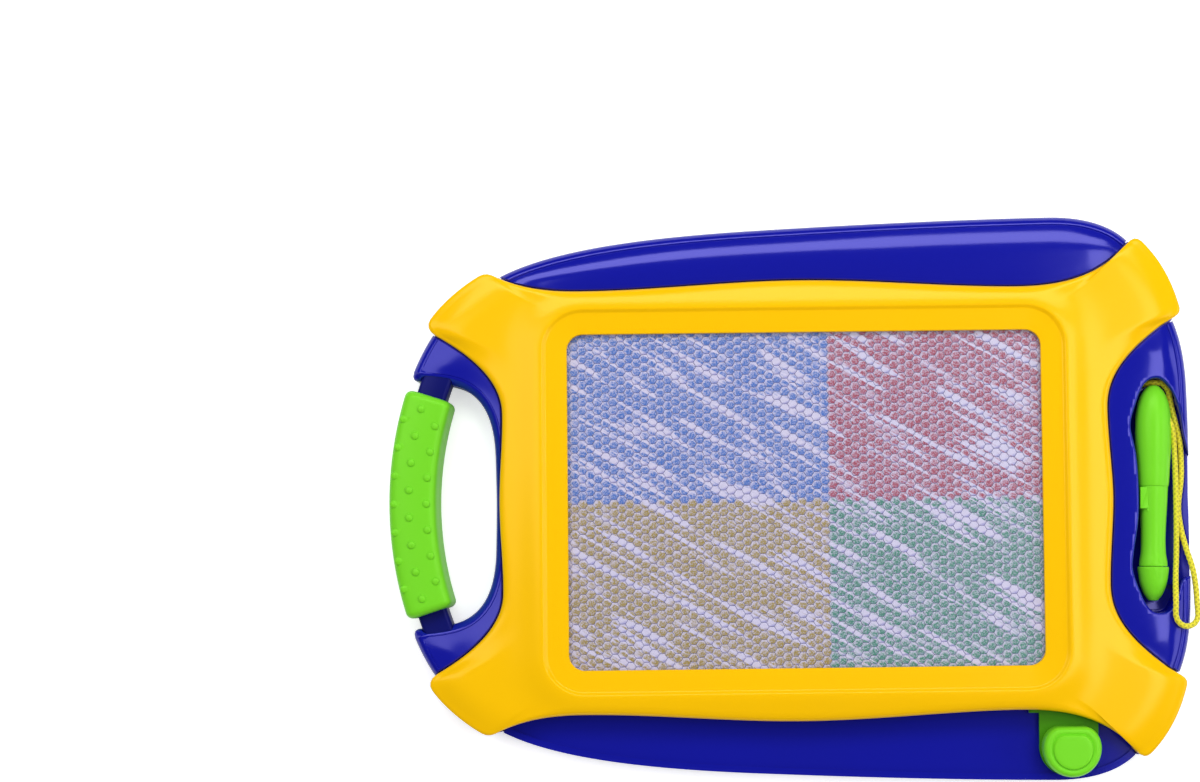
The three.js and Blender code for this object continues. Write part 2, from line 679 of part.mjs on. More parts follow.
function penNose() {
  const spigotTop = noseTop + noseSpigotLength;
  const tipY = -penHalfLength + tipReach;
  const length = noseTop - tipY;
  const at = (radiusShare, lengthShare) => [noseRadius * radiusShare, tipY + length * lengthShare];
  const bore = tipRadius + seatGap;
  return lathe([
    [0, tipY + tipLength], [bore, tipY + tipLength], [bore, tipY],
    at(0.36, 0.03), at(0.62, 0.17), at(0.84, 0.42), at(0.96, 0.7), at(1, 0.95), at(0.97, 1),
    [noseSpigotRadius, noseTop], [noseSpigotRadius, spigotTop], [0, spigotTop],
  ]);
}

function penMagnet() {
  const tipY = -penHalfLength + tipReach;
  return lathe([
    [0, -penHalfLength], [0.6 * tipRadius, -penHalfLength + tipRound],
    [tipRadius, tipY - tipRound],
    [tipRadius, tipY + tipLength - seatGap], [0, tipY + tipLength - seatGap],
  ]);
}

// Pen pocket: a boat-shaped well whose right side runs out through a finger scallop in the shell's edge
const pocketFloor = 4.15;
const pocketWall = 2;
const pocketBase = 1.6;
const pocketEndFloor = 7;
const pocketEndStart = 49.6;
const undercutStart = 46;
const undercutDepth = 1.5;
const undercutTop = 15.4;
const scallopStart = -34;
const scallopEnd = 25;
const scallopLow = 6;
const scallopHigh = 10.5;
const scallopReach = 11;
const scallopInnerX = halfLength - scallopReach;
const pocketReach = 19;
const pocketHalf = 55.6;
const pocketEdgeMargin = 16.6;
const pocketCentreX = halfLength - pocketEdgeMargin;
// Shares of the reach and half length about the pocket's middle, from the top end down the left side and back
const pocketShares = [
  [0.04, 1.002], [-0.17, 0.977], [-0.29, 0.935], [-0.39, 0.861], [-0.475, 0.775], [-0.568, 0.68],
  [-0.607, 0.605], [-0.547, 0.475], [-0.489, 0.381], [-0.45, 0.25], [-0.436, 0.12], [-0.436, -0.12],
  [-0.47, -0.25], [-0.547, -0.4], [-0.605, -0.53], [-0.62, -0.59], [-0.61, -0.64], [-0.542, -0.721],
  [-0.453, -0.802], [-0.363, -0.883], [-0.247, -0.948], [-0.132, -0.986], [0.032, -0.997],
  [0.2, -0.987], [0.316, -0.966], [0.51, -0.827], [0.558, -0.761], [0.62, -0.7], [0.75, -0.665], [1.1, -0.65],
  [1.1, 0.44], [0.7, 0.554], [0.663, 0.673], [0.584, 0.79], [0.484, 0.871], [0.379, 0.928], [0.237, 0.978],
];

const pocketOutline = () => pocketShares.map(([x, y]) => (
  new THREE.Vector2(pocketCentreX + x * pocketReach, y * pocketHalf)));

// Height field over a band of the shell, as a solid down to a flat underside
function cushion(pointAt, bottom, across, along) {
  const positions = [];
  const index = [];
  const row = across + 1;
  const layer = row * (along + 1);
  for (const flat of [false, true]) {
    for (let j = 0; j <= along; j += 1) {
      for (let i = 0; i <= across; i += 1) {
        const p = pointAt(i / across, j / along);
        positions.push(p.x, p.y, flat ? bottom : p.z);
      }
    }
  }
  const quad = (a, b, c, d) => index.push(a, b, c, a, c, d);
  for (let j = 0; j < along; j += 1) {
    for (let i = 0; i < across; i += 1) {
      const a = j * row + i;
      quad(a, a + 1, a + row + 1, a + row);
      quad(layer + a, layer + a + row, layer + a + row + 1, layer + a + 1);
    }
  }
  for (let i = 0; i < across; i += 1) {
    quad(i + 1, i, layer + i, layer + i + 1);
    const last = along * row + i;
    quad(last, last + 1, layer + last + 1, layer + last);
  }
  for (let j = 0; j < along; j += 1) {
    const near = j * row;
    const far = near + across;
    quad(near, near + row, layer + near + row, layer + near);
    quad(far + row, far, layer + far, layer + far + row);
  }
  const geometry = new THREE.BufferGeometry();
  geometry.setAttribute('position', new THREE.Float32BufferAttribute(positions, 3));
  geometry.setIndex(index);
  return solidOf(geometry);
}

// Where an outline crosses a line of one coordinate, farthest out on the other
function farthest(points, axis, value) {
  const other = axis === 'x' ? 'y' : 'x';
  let best = -Infinity;
  points.forEach((p, i) => {
    const q = points[(i + 1) % points.length];
    if ((p[axis] - value) * (q[axis] - value) > 0 || p[axis] === q[axis]) return;
    const share = (value - p[axis]) / (q[axis] - p[axis]);
    best = Math.max(best, p[other] + share * (q[other] - p[other]));
  });
  return best;
}

const topBandShares = [-1.262, 1.572];
const bandInset = 17.2;
const sideBandMargin = 3.9;
const sideBandInset = 30.8;
const domeCrestShare = 0.52;

function bandRise(share, width) {
  const crest = 1 - ((share - domeCrestShare) / domeCrestShare) ** 2;
  return domeRise * crest * Math.min(1, width / domeReach);
}

// The crowned top band and pen-side band of the shell, lowered for the hollow inside it
function bandDomes(drop) {
  const crease = inset(shellOutline, creaseInset);
  const topDome = cushion((share, along) => {
    const [leftEnd, rightEnd] = topBandShares.map((share) => bordered(share, 0).x);
    const x = THREE.MathUtils.lerp(rightEnd, leftEnd, along);
    const outer = farthest(crease, 'x', x);
    const inner = windowHeight / 2 + bandInset;
    const y = THREE.MathUtils.lerp(outer, inner, share);
    const fade = Math.min(1, 12 * Math.min(along, 1 - along) + 0.05);
    return new THREE.Vector3(x, y, shoulderHeight - drop + fade * bandRise(share, outer - inner));
  }, rearDepth, 8, 16);
  const sideDome = cushion((share, along) => {
    const y = THREE.MathUtils.lerp(-1, 1, along) * (windowHeight / 2 + sideBandMargin);
    const outer = farthest(crease, 'y', y);
    const inner = windowShift + windowWidth / 2 + sideBandInset;
    const x = THREE.MathUtils.lerp(outer, inner, share);
    const fade = Math.min(1, 8 * Math.min(along, 1 - along) + 0.05);
    return new THREE.Vector3(x, y, shoulderHeight - drop + fade * bandRise(share, outer - inner));
  }, rearDepth, 6, 12);
  return joined(topDome, sideDome);
}

const channelInset = 10.6;
const channelInnerY = -windowHeight / 2 - channelInset;
const channelShares = [-1.553, 1.617];
const flangeWidth = 7;
const lugBlockLow = 11;
const lugBlockHigh = 12;
const lugBlockReach = 12.5;
const edgeRoundInset = 0.8;
const edgeRoundHeight = 2.6;
const shoulderRoundInset = 2.2;
const shoulderRoundHeight = 4.2;
const shoulderInset = 3.8;
const shellWallWidth = 3;
const pawShelfDepth = 1.6;

// Blue front shell: crowned bands, flange under the bezel, eraser channel, pen well and handle lugs
function frontShell() {
  const body = loft([
    ringAt(shellOutline, rearDepth),
    ringAt(shellOutline, edgeWallHeight),
    ringAt(inset(shellOutline, edgeRoundInset), edgeWallHeight + edgeRoundHeight),
    ringAt(inset(shellOutline, shoulderRoundInset), edgeWallHeight + shoulderRoundHeight),
    ringAt(inset(shellOutline, shoulderInset), shoulderHeight),
  ]);
  const high = bezelRidgeHeight + cutOverrun;
  const bezelClear = shrunk(bezelOutline, -2 * seatGap);
  const channelX = channelShares.map((share) => bordered(share, 0).x);
  const channel = prism(shrunk(shellOutline, channelLipWidth), channelFloorHeight, high)
    .intersect(block(...channelX, -halfWidth, channelInnerY + cutOverrun, 0, high));
  const lipTrim = block(...channelX, -halfWidth - cutOverrun, channelInnerY, channelLipHeight, high);
  const middle = roundedRectangle(windowShift, frameOuterX + seatGap * 3, frameOuterY + seatGap * 3, 3 * wall);
  const flangeHole = cutBy(
    prism(shrunk(bezelOutline, flangeWidth), rearDepth - cutOverrun, high),
    block(-halfLength, halfLength, -halfWidth, -frameOuterY - 3 * seatGap, 0, high + cutOverrun),
  ).add(prism(middle, rearDepth - cutOverrun, high));
  const hollowBottom = rearDepth - cutOverrun;
  const hollow = cutBy(
    joined(prism(shrunk(shellOutline, shellWallWidth), hollowBottom, shoulderHeight - wall), bandDomes(wall)
      .intersect(prism(shrunk(shellOutline, creaseInset + wall), 0, high))),
    prism(shrunk(bezelOutline, -2 * seatGap - wall), deckHeight - wall, high),
    pawZones(pawLedgeHeight - pawShelfDepth, high),
    block(channelX[0], channelX[1], -halfWidth, channelInnerY, channelFloorHeight - wall, high),
    ...[1, -1].map((side) => {
      const span = [side * (lugPlace.y - lugBlockLow), side * (lugPlace.y + lugBlockHigh)].sort((a, b) => a - b);
      return block(-halfLength, lugPlace.x + lugBlockReach, ...span, 0, high);
    }),
  );
  const wellPlan = pocketOutline();
  const insideRear = prism(shrunk(shellOutline, rearWall + 1.5 * seatGap), 0, high);
  const wellBottom = pocketFloor - pocketBase;
  const undercutZone = block(
    pocketCentreX - pocketReach, pocketCentreX + pocketReach, undercutStart, halfWidth, 0, high);
  const well = joined(
    prism(shrunk(wellPlan, -pocketWall), wellBottom, shoulderHeight - wall),
    prism(shrunk(wellPlan, -pocketWall - undercutDepth), wellBottom, shoulderHeight - wall).intersect(undercutZone),
  ).intersect(insideRear);
  const envelope = joined(body, bandDomes(0));
  const shell = cutBy(envelope, hollow, flangeHole);
  const bosses = frontBossPlaces().map(([x, y]) => post(x, y, bossRadius, rearDepth, high).intersect(envelope));
  const cutters = [
    prism(bezelClear, deckHeight, high),
    prism(bezelClear, pawLedgeHeight, high).intersect(pawZones(0, high + cutOverrun, seatGap)),
    lipTrim,
    channel,
    ...pocketCuts(wellPlan, high, undercutZone),
    handleBarSolid(seatGap, seatGap),
    ...frontBossPlaces().map(([x, y]) => (
      post(x, y, screwShankRadius + screwGap, rearDepth - cutOverrun, housingScrewTop + seatGap, 8))),
    ...channelScrewPlaces().map(([x, y]) => (
      post(x, y, screwShankRadius + screwGap, rearDepth - cutOverrun, channelScrewTop + seatGap, 8))),
    ...pawScrewPlaces().map(([x, y]) => (
      post(x, y, screwShankRadius + screwGap, rearDepth - cutOverrun, high, 8))),
  ];
  return cutBy(joined(shell, well, ...bosses), ...cutters);
}

function pocketCuts(wellPlan, high, undercutZone) {
  const inner = prism(shrunk(shellOutline, rearWall + 1.5 * seatGap + pocketBase), 0, high);
  const endX = [pocketCentreX - pocketReach, pocketCentreX + pocketReach];
  const end = block(...endX, pocketEndStart, halfWidth, 0, pocketEndFloor);
  const deep = cutBy(prism(wellPlan, pocketFloor, high).intersect(inner), end, scallopWedge(0, false));
  const knotRoom = block(
    ...endX, pocketEndStart + pocketBase, pocketHalf + pocketWall + undercutDepth, 0, pocketEndFloor - pocketBase);
  const undercut = prism(shrunk(wellPlan, -undercutDepth), pocketEndFloor, undercutTop).intersect(undercutZone);
  const rim = prism(wellPlan, scallopHigh, high);
  const scallop = prism(wellPlan, 0, high).intersect(scallopWedge(high, true));
  const hole = post(cordHoleX, cordHoleY, cordRadius + 1.5 * seatGap, 0, pocketEndFloor + cutOverrun, 12);
  return [deep, knotRoom, undercut.intersect(inner), rim, scallop, hole];
}

// Solid under the finger slope, or the room above it
function scallopWedge(high, above) {
  const rise = (scallopHigh - scallopLow) / (halfLength - scallopInnerX);
  const outX = halfLength + cutOverrun;
  const outZ = scallopHigh + cutOverrun * rise;
  const level = above ? high : 0;
  const section = new THREE.Shape([
    new THREE.Vector2(scallopInnerX, scallopLow),
    new THREE.Vector2(outX, outZ),
    new THREE.Vector2(outX, level),
    new THREE.Vector2(scallopInnerX, level),
  ]);
  const run = new THREE.ExtrudeGeometry(section, { depth: scallopEnd - scallopStart, bevelEnabled: false });
  return solidOf(run.rotateX(Math.PI / 2).translate(0, scallopEnd, 0));
}

// Housing screws go in from the rear
const housingScrewHead = 2.5;
const housingScrewTop = 14.6;
const channelScrewTop = 9;
const topScrewShares = [[-0.741, 1.608], [0.547, 1.681]];
const sideScrewShares = [[1.759, 0.897], [1.759, -0.897]];
const lugScrewShares = [[-1.709, 0.927], [-1.709, -0.927]];
const channelScrewShares = [[-0.741, -1.608], [0.547, -1.681]];
const pawScrewShares = [[1.732, 1.438], [1.732, -1.438], [-1.575, 1.2665], [-1.575, -1.2665]];
const placed = (shares) => shares.map(([x, y]) => bordered(x, y).toArray());
const frontBossPlaces = () => placed([...topScrewShares, ...sideScrewShares, ...lugScrewShares]);
const channelScrewPlaces = () => placed(channelScrewShares);
const pawScrewPlaces = () => placed(pawScrewShares);

// Blue rear shell: a shallow tray with screw posts and the runners that the eraser bar slides on
const runnerInset = 2;
const runnerWidth = 2.4;
const guideHeight = 12;
const rearEdgeInset = 2.4;
const rearRoundInset = 0.8;
const rearRoundHeight = 0.8;
const rearSideHeight = 2.6;
function rearShell() {
  const top = rearDepth - seatGap;
  const body = loft([
    ringAt(inset(shellOutline, rearEdgeInset), 0),
    ringAt(inset(shellOutline, rearRoundInset), rearRoundHeight),
    ringAt(shellOutline, rearSideHeight),
    ringAt(shellOutline, top),
  ]);
  const hollow = prism(shrunk(shellOutline, rearWall), wall, rearDepth + cutOverrun);
  const posts = [...frontBossPlaces(), ...channelScrewPlaces(), ...pawScrewPlaces()];
  const runnerX = [windowShift - frameOuterX, windowShift + frameOuterX];
  const runners = [1, -1].map((side) => {
    const y = [side * (barHalfSpan - runnerInset), side * (barHalfSpan - runnerInset - runnerWidth)];
    return block(...runnerX, ...y.sort((a, b) => a - b), 0.5 * wall, barBottom - seatGap);
  });
  const guideY = barHalfSpan + slideGap;
  const guide = block(...runnerX, guideY, guideY + wall, 0.5 * wall, guideHeight);
  const bores = posts.flatMap(([x, y]) => [
    post(x, y, counterboreRadius, -cutOverrun, housingScrewHead + screwHeadHeight + screwGap, 8),
    post(x, y, screwShankRadius + screwGap, -cutOverrun, rearDepth + cutOverrun, 8),
  ]);
  const solid = joined(
    cutBy(body, hollow), ...runners, guide, ...posts.map(([x, y]) => post(x, y, bossRadius + wall, 0.5 * wall, top)));
  return cutBy(solid.intersect(rearLimit()), handleBarSolid(seatGap, seatGap), ...bores);
}

// Keeps posts and runners inside the tray's own outline
function rearLimit() {
  return prism(shrunk(shellOutline, 0), -cutOverrun, guideHeight + cutOverrun);
}

// Pan-head screw, head down, from the rear
function screw(x, y, headBottom, headHeight, top) {
  const headTop = headBottom + headHeight;
  const profile = [
    [0, headBottom + 0.5 * headHeight], [0.35 * screwHeadRadius, headBottom], [0.8 * screwHeadRadius, headBottom],
    [screwHeadRadius, headBottom + 0.4 * headHeight], [screwHeadRadius, headTop], [screwShankRadius, headTop],
    [screwShankRadius, top - screwShankRadius], [0, top],
  ];
  const shape = new THREE.LatheGeometry(profile.map(([r, z]) => new THREE.Vector2(r, z)), 8);
  return solidOf(shape.rotateX(Math.PI / 2).translate(x, y, 0));
}

// Cord: doubled from the pocket's end wall to the pen's cap, its loop over the shell's edge
const cordRadius = 1.4;
const knotHeight = 3.6;
const knotRadius = 2;
const knotHalfHeight = 1.1;
const cordHoleMargin = 20.3;
const cordHoleX = halfLength - cordHoleMargin;
const cordHoleY = 53.5;
// Points along the cord, their X from the board's edge on the pen side
const cordPoints = [
  [-20.4, 53.5, 5.1], [-20.26, 53.5, 6.7], [-19.57, 53.6, 8.5], [-18.2, 53.8, 10.15],
  [-16.3, 54, 11.25], [-14.15, 54.1, 11.65], [-12, 53.7, 11.6], [-10.5, 52.6, 11.4], [-9.3, 51.2, 11.2],
  [-8.5, 49.5, 10.9], [-7.9, 46.6, 10.6], [-7, 41.5, 10.6], [-5.6, 34.5, 11.8], [-3.9, 25.5, 12.3],
  [-3.3, 18, 11.3], [-3.4, 8, 10.9], [-4.8, -5, 10.3], [-3.8, -15.5, 10.7], [-1.7, -25, 11.8],
  [0.8, -34, 13.1], [2.2, -43, 13.15], [2.6, -50, 13.4], [2.6, -55.6, 15], [1.8, -58.7, 16.3],
  [-0.3, -60.8, 17.6], [-3.2, -61.6, 18.9], [-6.1, -60.8, 20.1], [-8.2, -58.7, 20.9],
  [-9.05, -55.6, 21.3], [-8.9, -51.5, 21.4], [-8.6, -47.5, 20], [-8, -42.5, 16.8], [-7.2, -36, 13.4],
  [-6.5, -28, 11.8], [-6.3, -14, 12.5], [-6.3, 3, 12.8], [-6.7, 20, 13.4], [-7.8, 31, 15.4],
  [-10.1, 37, 16], [-12.6, 41.5, 16.3],
];
const cordSocketPoints = [
  [-6.7, 20, 13.4], [-7.8, 31, 15.4], [-10.1, 37, 16], [-12.6, 41.5, 16.3], [-14.2, 44.2, 16.4],
];
const fromPenSide = ([x, y, z]) => [halfLength + x, y, z];

// A round tube along a smooth line through points
function tube(points, radius, sides, steps) {
  const path = new THREE.CatmullRomCurve3(points.map((p) => new THREE.Vector3(...p)), false, 'centripetal');
  const section = new THREE.Shape(Array.from({ length: sides }, (_, i) => {
    const angle = (i / sides) * 2 * Math.PI;
    return new THREE.Vector2(radius * Math.cos(angle), radius * Math.sin(angle));
  }));
  return new THREE.ExtrudeGeometry(section, { steps, bevelEnabled: false, extrudePath: path });
}

const cord = () => solidOf(tube(cordPoints.map(fromPenSide), cordRadius, 7, 68));

function cordKnot() {
  const profileShares = [[0, -1], [0.74, -0.92], [1, -0.33], [1, 0.33], [0.74, 0.92], [0, 1]];
  const profile = profileShares.map(([r, z]) => new THREE.Vector2(r * knotRadius, z * knotHalfHeight));
  const shape = new THREE.LatheGeometry(profile, 12);
  return solidOf(shape.rotateX(Math.PI / 2).translate(cordHoleX, cordHoleY, knotHeight));
}

addPiece('front_bezel', frontBezel(), plastics.yellow);
addPiece('front_shell', frontShell(), plastics.blue);
addPiece('rear_shell', rearShell(), plastics.blue);
addPiece('screen_frame', screenFrame(), plastics.blue);
addPiece('screen_film', screenSheet(filmBottom, filmThickness), otherMaterials.clearFilm);
addPiece('screen_honeycomb', screenSheet(honeycombBottom, honeycombThickness), otherMaterials.honeycomb);
addPiece('screen_backing', screenSheet(backingBottom, backingThickness), otherMaterials.backing);
addPiece('eraser_carriage', eraserCarriage(), plastics.green);
addPiece('eraser_magnet', eraserMagnet(), otherMaterials.ferrite);
addPiece('eraser_knob', eraserKnob(), plastics.green);
addPiece('handle_bar', handleBar(), plastics.blue);
addPiece('grip_front', gripHalf(1), plastics.green);
addPiece('grip_rear', gripHalf(-1), plastics.green);

const pen = new THREE.Group();
pen.position.set(penX, penY, penZ);
pen.rotation.z = THREE.MathUtils.degToRad(penTurn);
board.add(pen);
pen.updateMatrix();
const cordSocket = tube(cordSocketPoints.map(fromPenSide), cordRadius + 2 * seatGap, 8, 6).applyMatrix4(pen.matrix.clone().invert());
addPiece('pen_cap', cutBy(penCap(), solidOf(cordSocket)), plastics.green, pen);
addPiece('pen_barrel', penBarrel(), plastics.green, pen);
addPiece('pen_nose', penNose(), plastics.green, pen);
addPiece('pen_magnet', penMagnet(), otherMaterials.steel, pen);

addPiece('cord', cord(), otherMaterials.braid);
addPiece('cord_knot', cordKnot(), otherMaterials.braid);

frontBossPlaces().forEach(([x, y], i) => {
  const shape = screw(x, y, housingScrewHead, screwHeadHeight, housingScrewTop);
  addPiece(`housing_screw_${i + 1}`, shape, otherMaterials.steel);
});
channelScrewPlaces().forEach(([x, y], i) => {
  const shape = screw(x, y, housingScrewHead, screwHeadHeight, channelScrewTop);
  addPiece(`channel_screw_${i + 1}`, shape, otherMaterials.steel);
});
pawScrewPlaces().forEach(([x, y], i) => {
  addPiece(`paw_screw_${i + 1}`, screw(x, y, housingScrewHead, screwHeadHeight, pawScrewTop), otherMaterials.steel);
});
frameScrewPlaces().forEach(([x, y], i) => {
  const bottom = deckHeight - frameThickness + seatGap;
  addPiece(`frame_screw_${i + 1}`, screw(x, y, bottom, frameScrewHeadHeight, frameScrewTop), otherMaterials.steel);
});
gripScrewPlaces().forEach(([x, y], i) => {
  addPiece(`grip_screw_${i + 1}`, screw(x, y, gripBottom, screwHeadHeight, gripScrewTop), otherMaterials.steel);
});

export default board;
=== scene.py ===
# %% [markdown]
# # A magnetic drawing board
# The real toy is a flat plastic housing round a honeycomb screen. A yellow bezel is screwed to a blue
# shell, a green knob wipes the screen clean, and a pen on a cord lies in its own pocket. The packed
# CAD model knows where everything is, but its surfaces are made of flat facets. So this lesson keeps
# its places and models each visible piece again, smooth and with a finish.

# %% The frame and the unit
import math

import bpy
from mathutils import Matrix, Vector
from mathutils.geometry import interpolate_bezier, intersect_point_line
from mathutils.kdtree import KDTree


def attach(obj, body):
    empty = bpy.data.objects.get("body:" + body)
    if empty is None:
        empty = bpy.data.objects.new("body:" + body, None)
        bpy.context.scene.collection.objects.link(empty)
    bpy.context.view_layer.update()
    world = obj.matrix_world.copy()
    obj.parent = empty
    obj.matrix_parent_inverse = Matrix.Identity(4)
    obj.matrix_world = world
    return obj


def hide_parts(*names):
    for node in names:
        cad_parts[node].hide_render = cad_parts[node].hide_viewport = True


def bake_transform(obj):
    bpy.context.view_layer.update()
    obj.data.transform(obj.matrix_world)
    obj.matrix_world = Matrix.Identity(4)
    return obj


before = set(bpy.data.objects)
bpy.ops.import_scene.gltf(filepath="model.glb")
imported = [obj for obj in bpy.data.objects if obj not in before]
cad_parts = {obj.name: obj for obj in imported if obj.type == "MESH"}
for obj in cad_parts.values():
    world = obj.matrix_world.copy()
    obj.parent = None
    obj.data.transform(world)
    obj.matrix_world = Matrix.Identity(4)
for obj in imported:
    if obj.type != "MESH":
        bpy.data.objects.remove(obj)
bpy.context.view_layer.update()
MM = 0.001

# %% [markdown]
# ## The camera
# The photograph looks almost straight down, from about a metre away, and the board lies to the lower
# right of its middle. A long lens at that place gives the same small perspective, and the lens shift
# moves the board aside without turning the camera, just as the cropped photograph does.

# %% Camera
CAMERA_PLACE = Vector((-8.5, -41.4, 1006.6)) * MM
CAMERA_TURNS = (("X", 2.404), ("Y", -0.205), ("Z", -0.693))

camera = bpy.data.objects.new("camera", bpy.data.cameras.new("camera"))
bpy.context.scene.collection.objects.link(camera)
bpy.context.scene.camera = camera
camera.data.sensor_width = 36
camera.data.lens = 63
camera.data.shift_x = -0.15
camera.data.shift_y = 0.0908
turn = Matrix.Identity(3)
for axis, degrees in CAMERA_TURNS:
    turn = turn @ Matrix.Rotation(math.radians(degrees), 3, axis)
camera.matrix_world = Matrix.Translation(CAMERA_PLACE) @ turn.to_4x4()
print("camera height", round(CAMERA_PLACE.z, 3))

# %% [markdown]
# ## Working by hand, in code
# Every operator acts on whatever is selected, so each step first says what it holds. Two habits make
# most of the pieces here. A circle is bent to an outline and its edge is extruded again and again,
# which is how a moulded wall is drawn. And a solid is cut with another solid, as a mould's core cuts
# the plastic.

# %% Selecting and finishing
def take(piece):
    """Selects one piece alone and makes it active."""
    bpy.ops.object.select_all(action="DESELECT")
    piece.select_set(True)
    bpy.context.view_layer.objects.active = piece
    return piece


def editing(piece, mode="VERT"):
    """Goes into edit mode with nothing selected."""
    take(piece)
    bpy.ops.object.mode_set(mode="EDIT")
    bpy.ops.mesh.select_mode(type=mode)
    bpy.ops.mesh.select_all(action="DESELECT")


def done_editing():
    bpy.ops.object.mode_set(mode="OBJECT")


def select_vertices(piece, chosen):
    """Selects vertices by number, in object mode, for the next edit."""
    for kind in (piece.data.vertices, piece.data.edges, piece.data.polygons):
        for item in kind:
            item.select = False
    for number in chosen:
        piece.data.vertices[number].select = True


def settle(piece, angle=30):
    """Joins doubles, turns the faces outwards and shades the piece smooth except at sharp edges."""
    editing(piece)
    bpy.ops.mesh.select_all(action="SELECT")
    bpy.ops.mesh.remove_doubles(threshold=0.002 * MM)
    bpy.ops.mesh.normals_make_consistent(inside=False)
    done_editing()
    bpy.ops.object.shade_smooth_by_angle(angle=math.radians(angle))
    return piece


def apply_modifier(piece, kind, **settings):
    """Adds a modifier, sets it and applies it."""
    modifier = piece.modifiers.new(kind.lower(), kind)
    for name, value in settings.items():
        setattr(modifier, name, value)
    take(piece)
    bpy.ops.object.modifier_apply(modifier=modifier.name)
    return piece


print("editing helpers:", [helper.__name__ for helper in (take, editing, settle, apply_modifier)])

# %% [markdown]
# ### Walls from rings
# A moulded wall is the same outline over and over, a little further in and a little higher each time.
# It could be a bevelled curve, but then its profile couldn't change along the way. So a ring of points
# is extruded to the next ring, as with the mouse, and the two ends are filled at last.

# %% Extruding ring by ring
def put(piece, start, ring):
    """Moves the vertices from a number onwards to the ring's points, in millimetres."""
    for offset, point in enumerate(ring):
        piece.data.vertices[start + offset].co = Vector(point) * MM


def loft(name, rings, looped=False):
    """Bends a circle to the first ring and extrudes its edge to each next one."""
    count = len(rings[0])
    bpy.ops.object.select_all(action="DESELECT")
    bpy.ops.mesh.primitive_circle_add(vertices=count, radius=MM)
    piece = bpy.context.object
    piece.name = name
    put(piece, 0, rings[0])
    path = rings[1:] + ([rings[0]] if looped else [])
    editing(piece)
    bpy.ops.mesh.select_all(action="SELECT")
    for number, ring in enumerate(path, 1):
        bpy.ops.mesh.extrude_region_move()
        done_editing()
        put(piece, number * count, ring)
        bpy.ops.object.mode_set(mode="EDIT")
    if not looped:
        bpy.ops.mesh.edge_face_add()
        done_editing()
        select_vertices(piece, range(count))
        bpy.ops.object.mode_set(mode="EDIT")
        bpy.ops.mesh.edge_face_add()
    done_editing()
    return settle(piece)


def level(points, z):
    return [(p.x, p.y, z) for p in points]


def prism(points, low, high):
    return loft("prism", [level(points, low), level(points, high)])


print("ring helpers:", [helper.__name__ for helper in (put, loft, level, prism)])

# %% [markdown]
# ### Solids that cut each other
# Ribs, screw posts and sockets are plain boxes and round pins in the real mould. They are made as
# boxes and cylinders here too, and joined or cut by the boolean modifier. Its manifold solver needs
# closed solids, and in return it leaves clean edges where two curved walls meet.

# %% Boxes, posts and cuts
def block(x, y, z):
    """A plain box between two values on each axis."""
    bpy.ops.object.select_all(action="DESELECT")
    middle = [sum(pair) / 2 * MM for pair in (x, y, z)]
    bpy.ops.mesh.primitive_cube_add(size=1, location=middle)
    piece = bpy.context.object
    piece.scale = [(pair[1] - pair[0]) * MM for pair in (x, y, z)]
    bpy.ops.object.transform_apply(location=True, rotation=True, scale=True)
    return piece


def post(x, y, radius, low, high, sides=32):
    bpy.ops.object.select_all(action="DESELECT")
    place = Vector((x, y, (low + high) / 2)) * MM
    bpy.ops.mesh.primitive_cylinder_add(
        vertices=sides, radius=radius * MM, depth=(high - low) * MM, location=place)
    bpy.ops.object.transform_apply(location=True, rotation=True, scale=True)
    return bpy.context.object


def combine(piece, tool, operation):
    """Joins, cuts or intersects with another solid, which is used up."""
    apply_modifier(piece, "BOOLEAN", operation=operation, object=tool, solver="MANIFOLD")
    bpy.data.objects.remove(tool, do_unlink=True)
    return piece


def cut(piece, *tools):
    for tool in tools:
        combine(piece, tool, "DIFFERENCE")
    return piece


def add(piece, *tools):
    for tool in tools:
        combine(piece, tool, "UNION")
    return piece


def common(piece, tool):
    return combine(piece, tool, "INTERSECT")


print("solid helpers:", [helper.__name__ for helper in (block, post, cut, add, common)])

# %% [markdown]
# ## The outlines
# The board's outline is drawn as a few Bezier curves over its upper half, from the pen side round to
# the handle, and mirrored for the lower half. The numbers are shares of half the length and half the
# width. The bezel has its own outline, with four corners that reach out like paws.

# %% Outline curves
HALF_LENGTH, HALF_WIDTH = 189, 133.5
WINDOW_X, WINDOW_HALF, WINDOW_CORNER = 7, Vector((111.5, 78.9)), 7.5
BEZEL_SHARES = (
    (0.805, 0),
    (0.804, 0.105, 0.794, 0.210, 0.794, 0.315),
    (0.794, 0.419, 0.836, 0.502, 0.934, 0.605),
    (0.947, 0.616, 0.958, 0.625, 0.968, 0.634),
    (0.982, 0.646, 0.984, 0.659, 0.978, 0.682),
    (0.960, 0.772, 0.931, 0.846, 0.889, 0.905),
    (0.877, 0.921, 0.865, 0.920, 0.852, 0.898),
    (0.794, 0.801, 0.709, 0.746, 0.566, 0.747),
    (0.397, 0.748, 0.212, 0.778, 0.026, 0.778),
    (-0.159, 0.778, -0.317, 0.749, -0.503, 0.747),
    (-0.603, 0.745, -0.672, 0.764, -0.730, 0.803),
    (-0.746, 0.816, -0.759, 0.819, -0.772, 0.809),
    (-0.815, 0.775, -0.868, 0.712, -0.896, 0.655),
    (-0.905, 0.637, -0.902, 0.614, -0.884, 0.598),
    (-0.794, 0.524, -0.717, 0.434, -0.717, 0.315),
    (-0.716, 0.210, -0.725, 0.105, -0.725, 0),
)
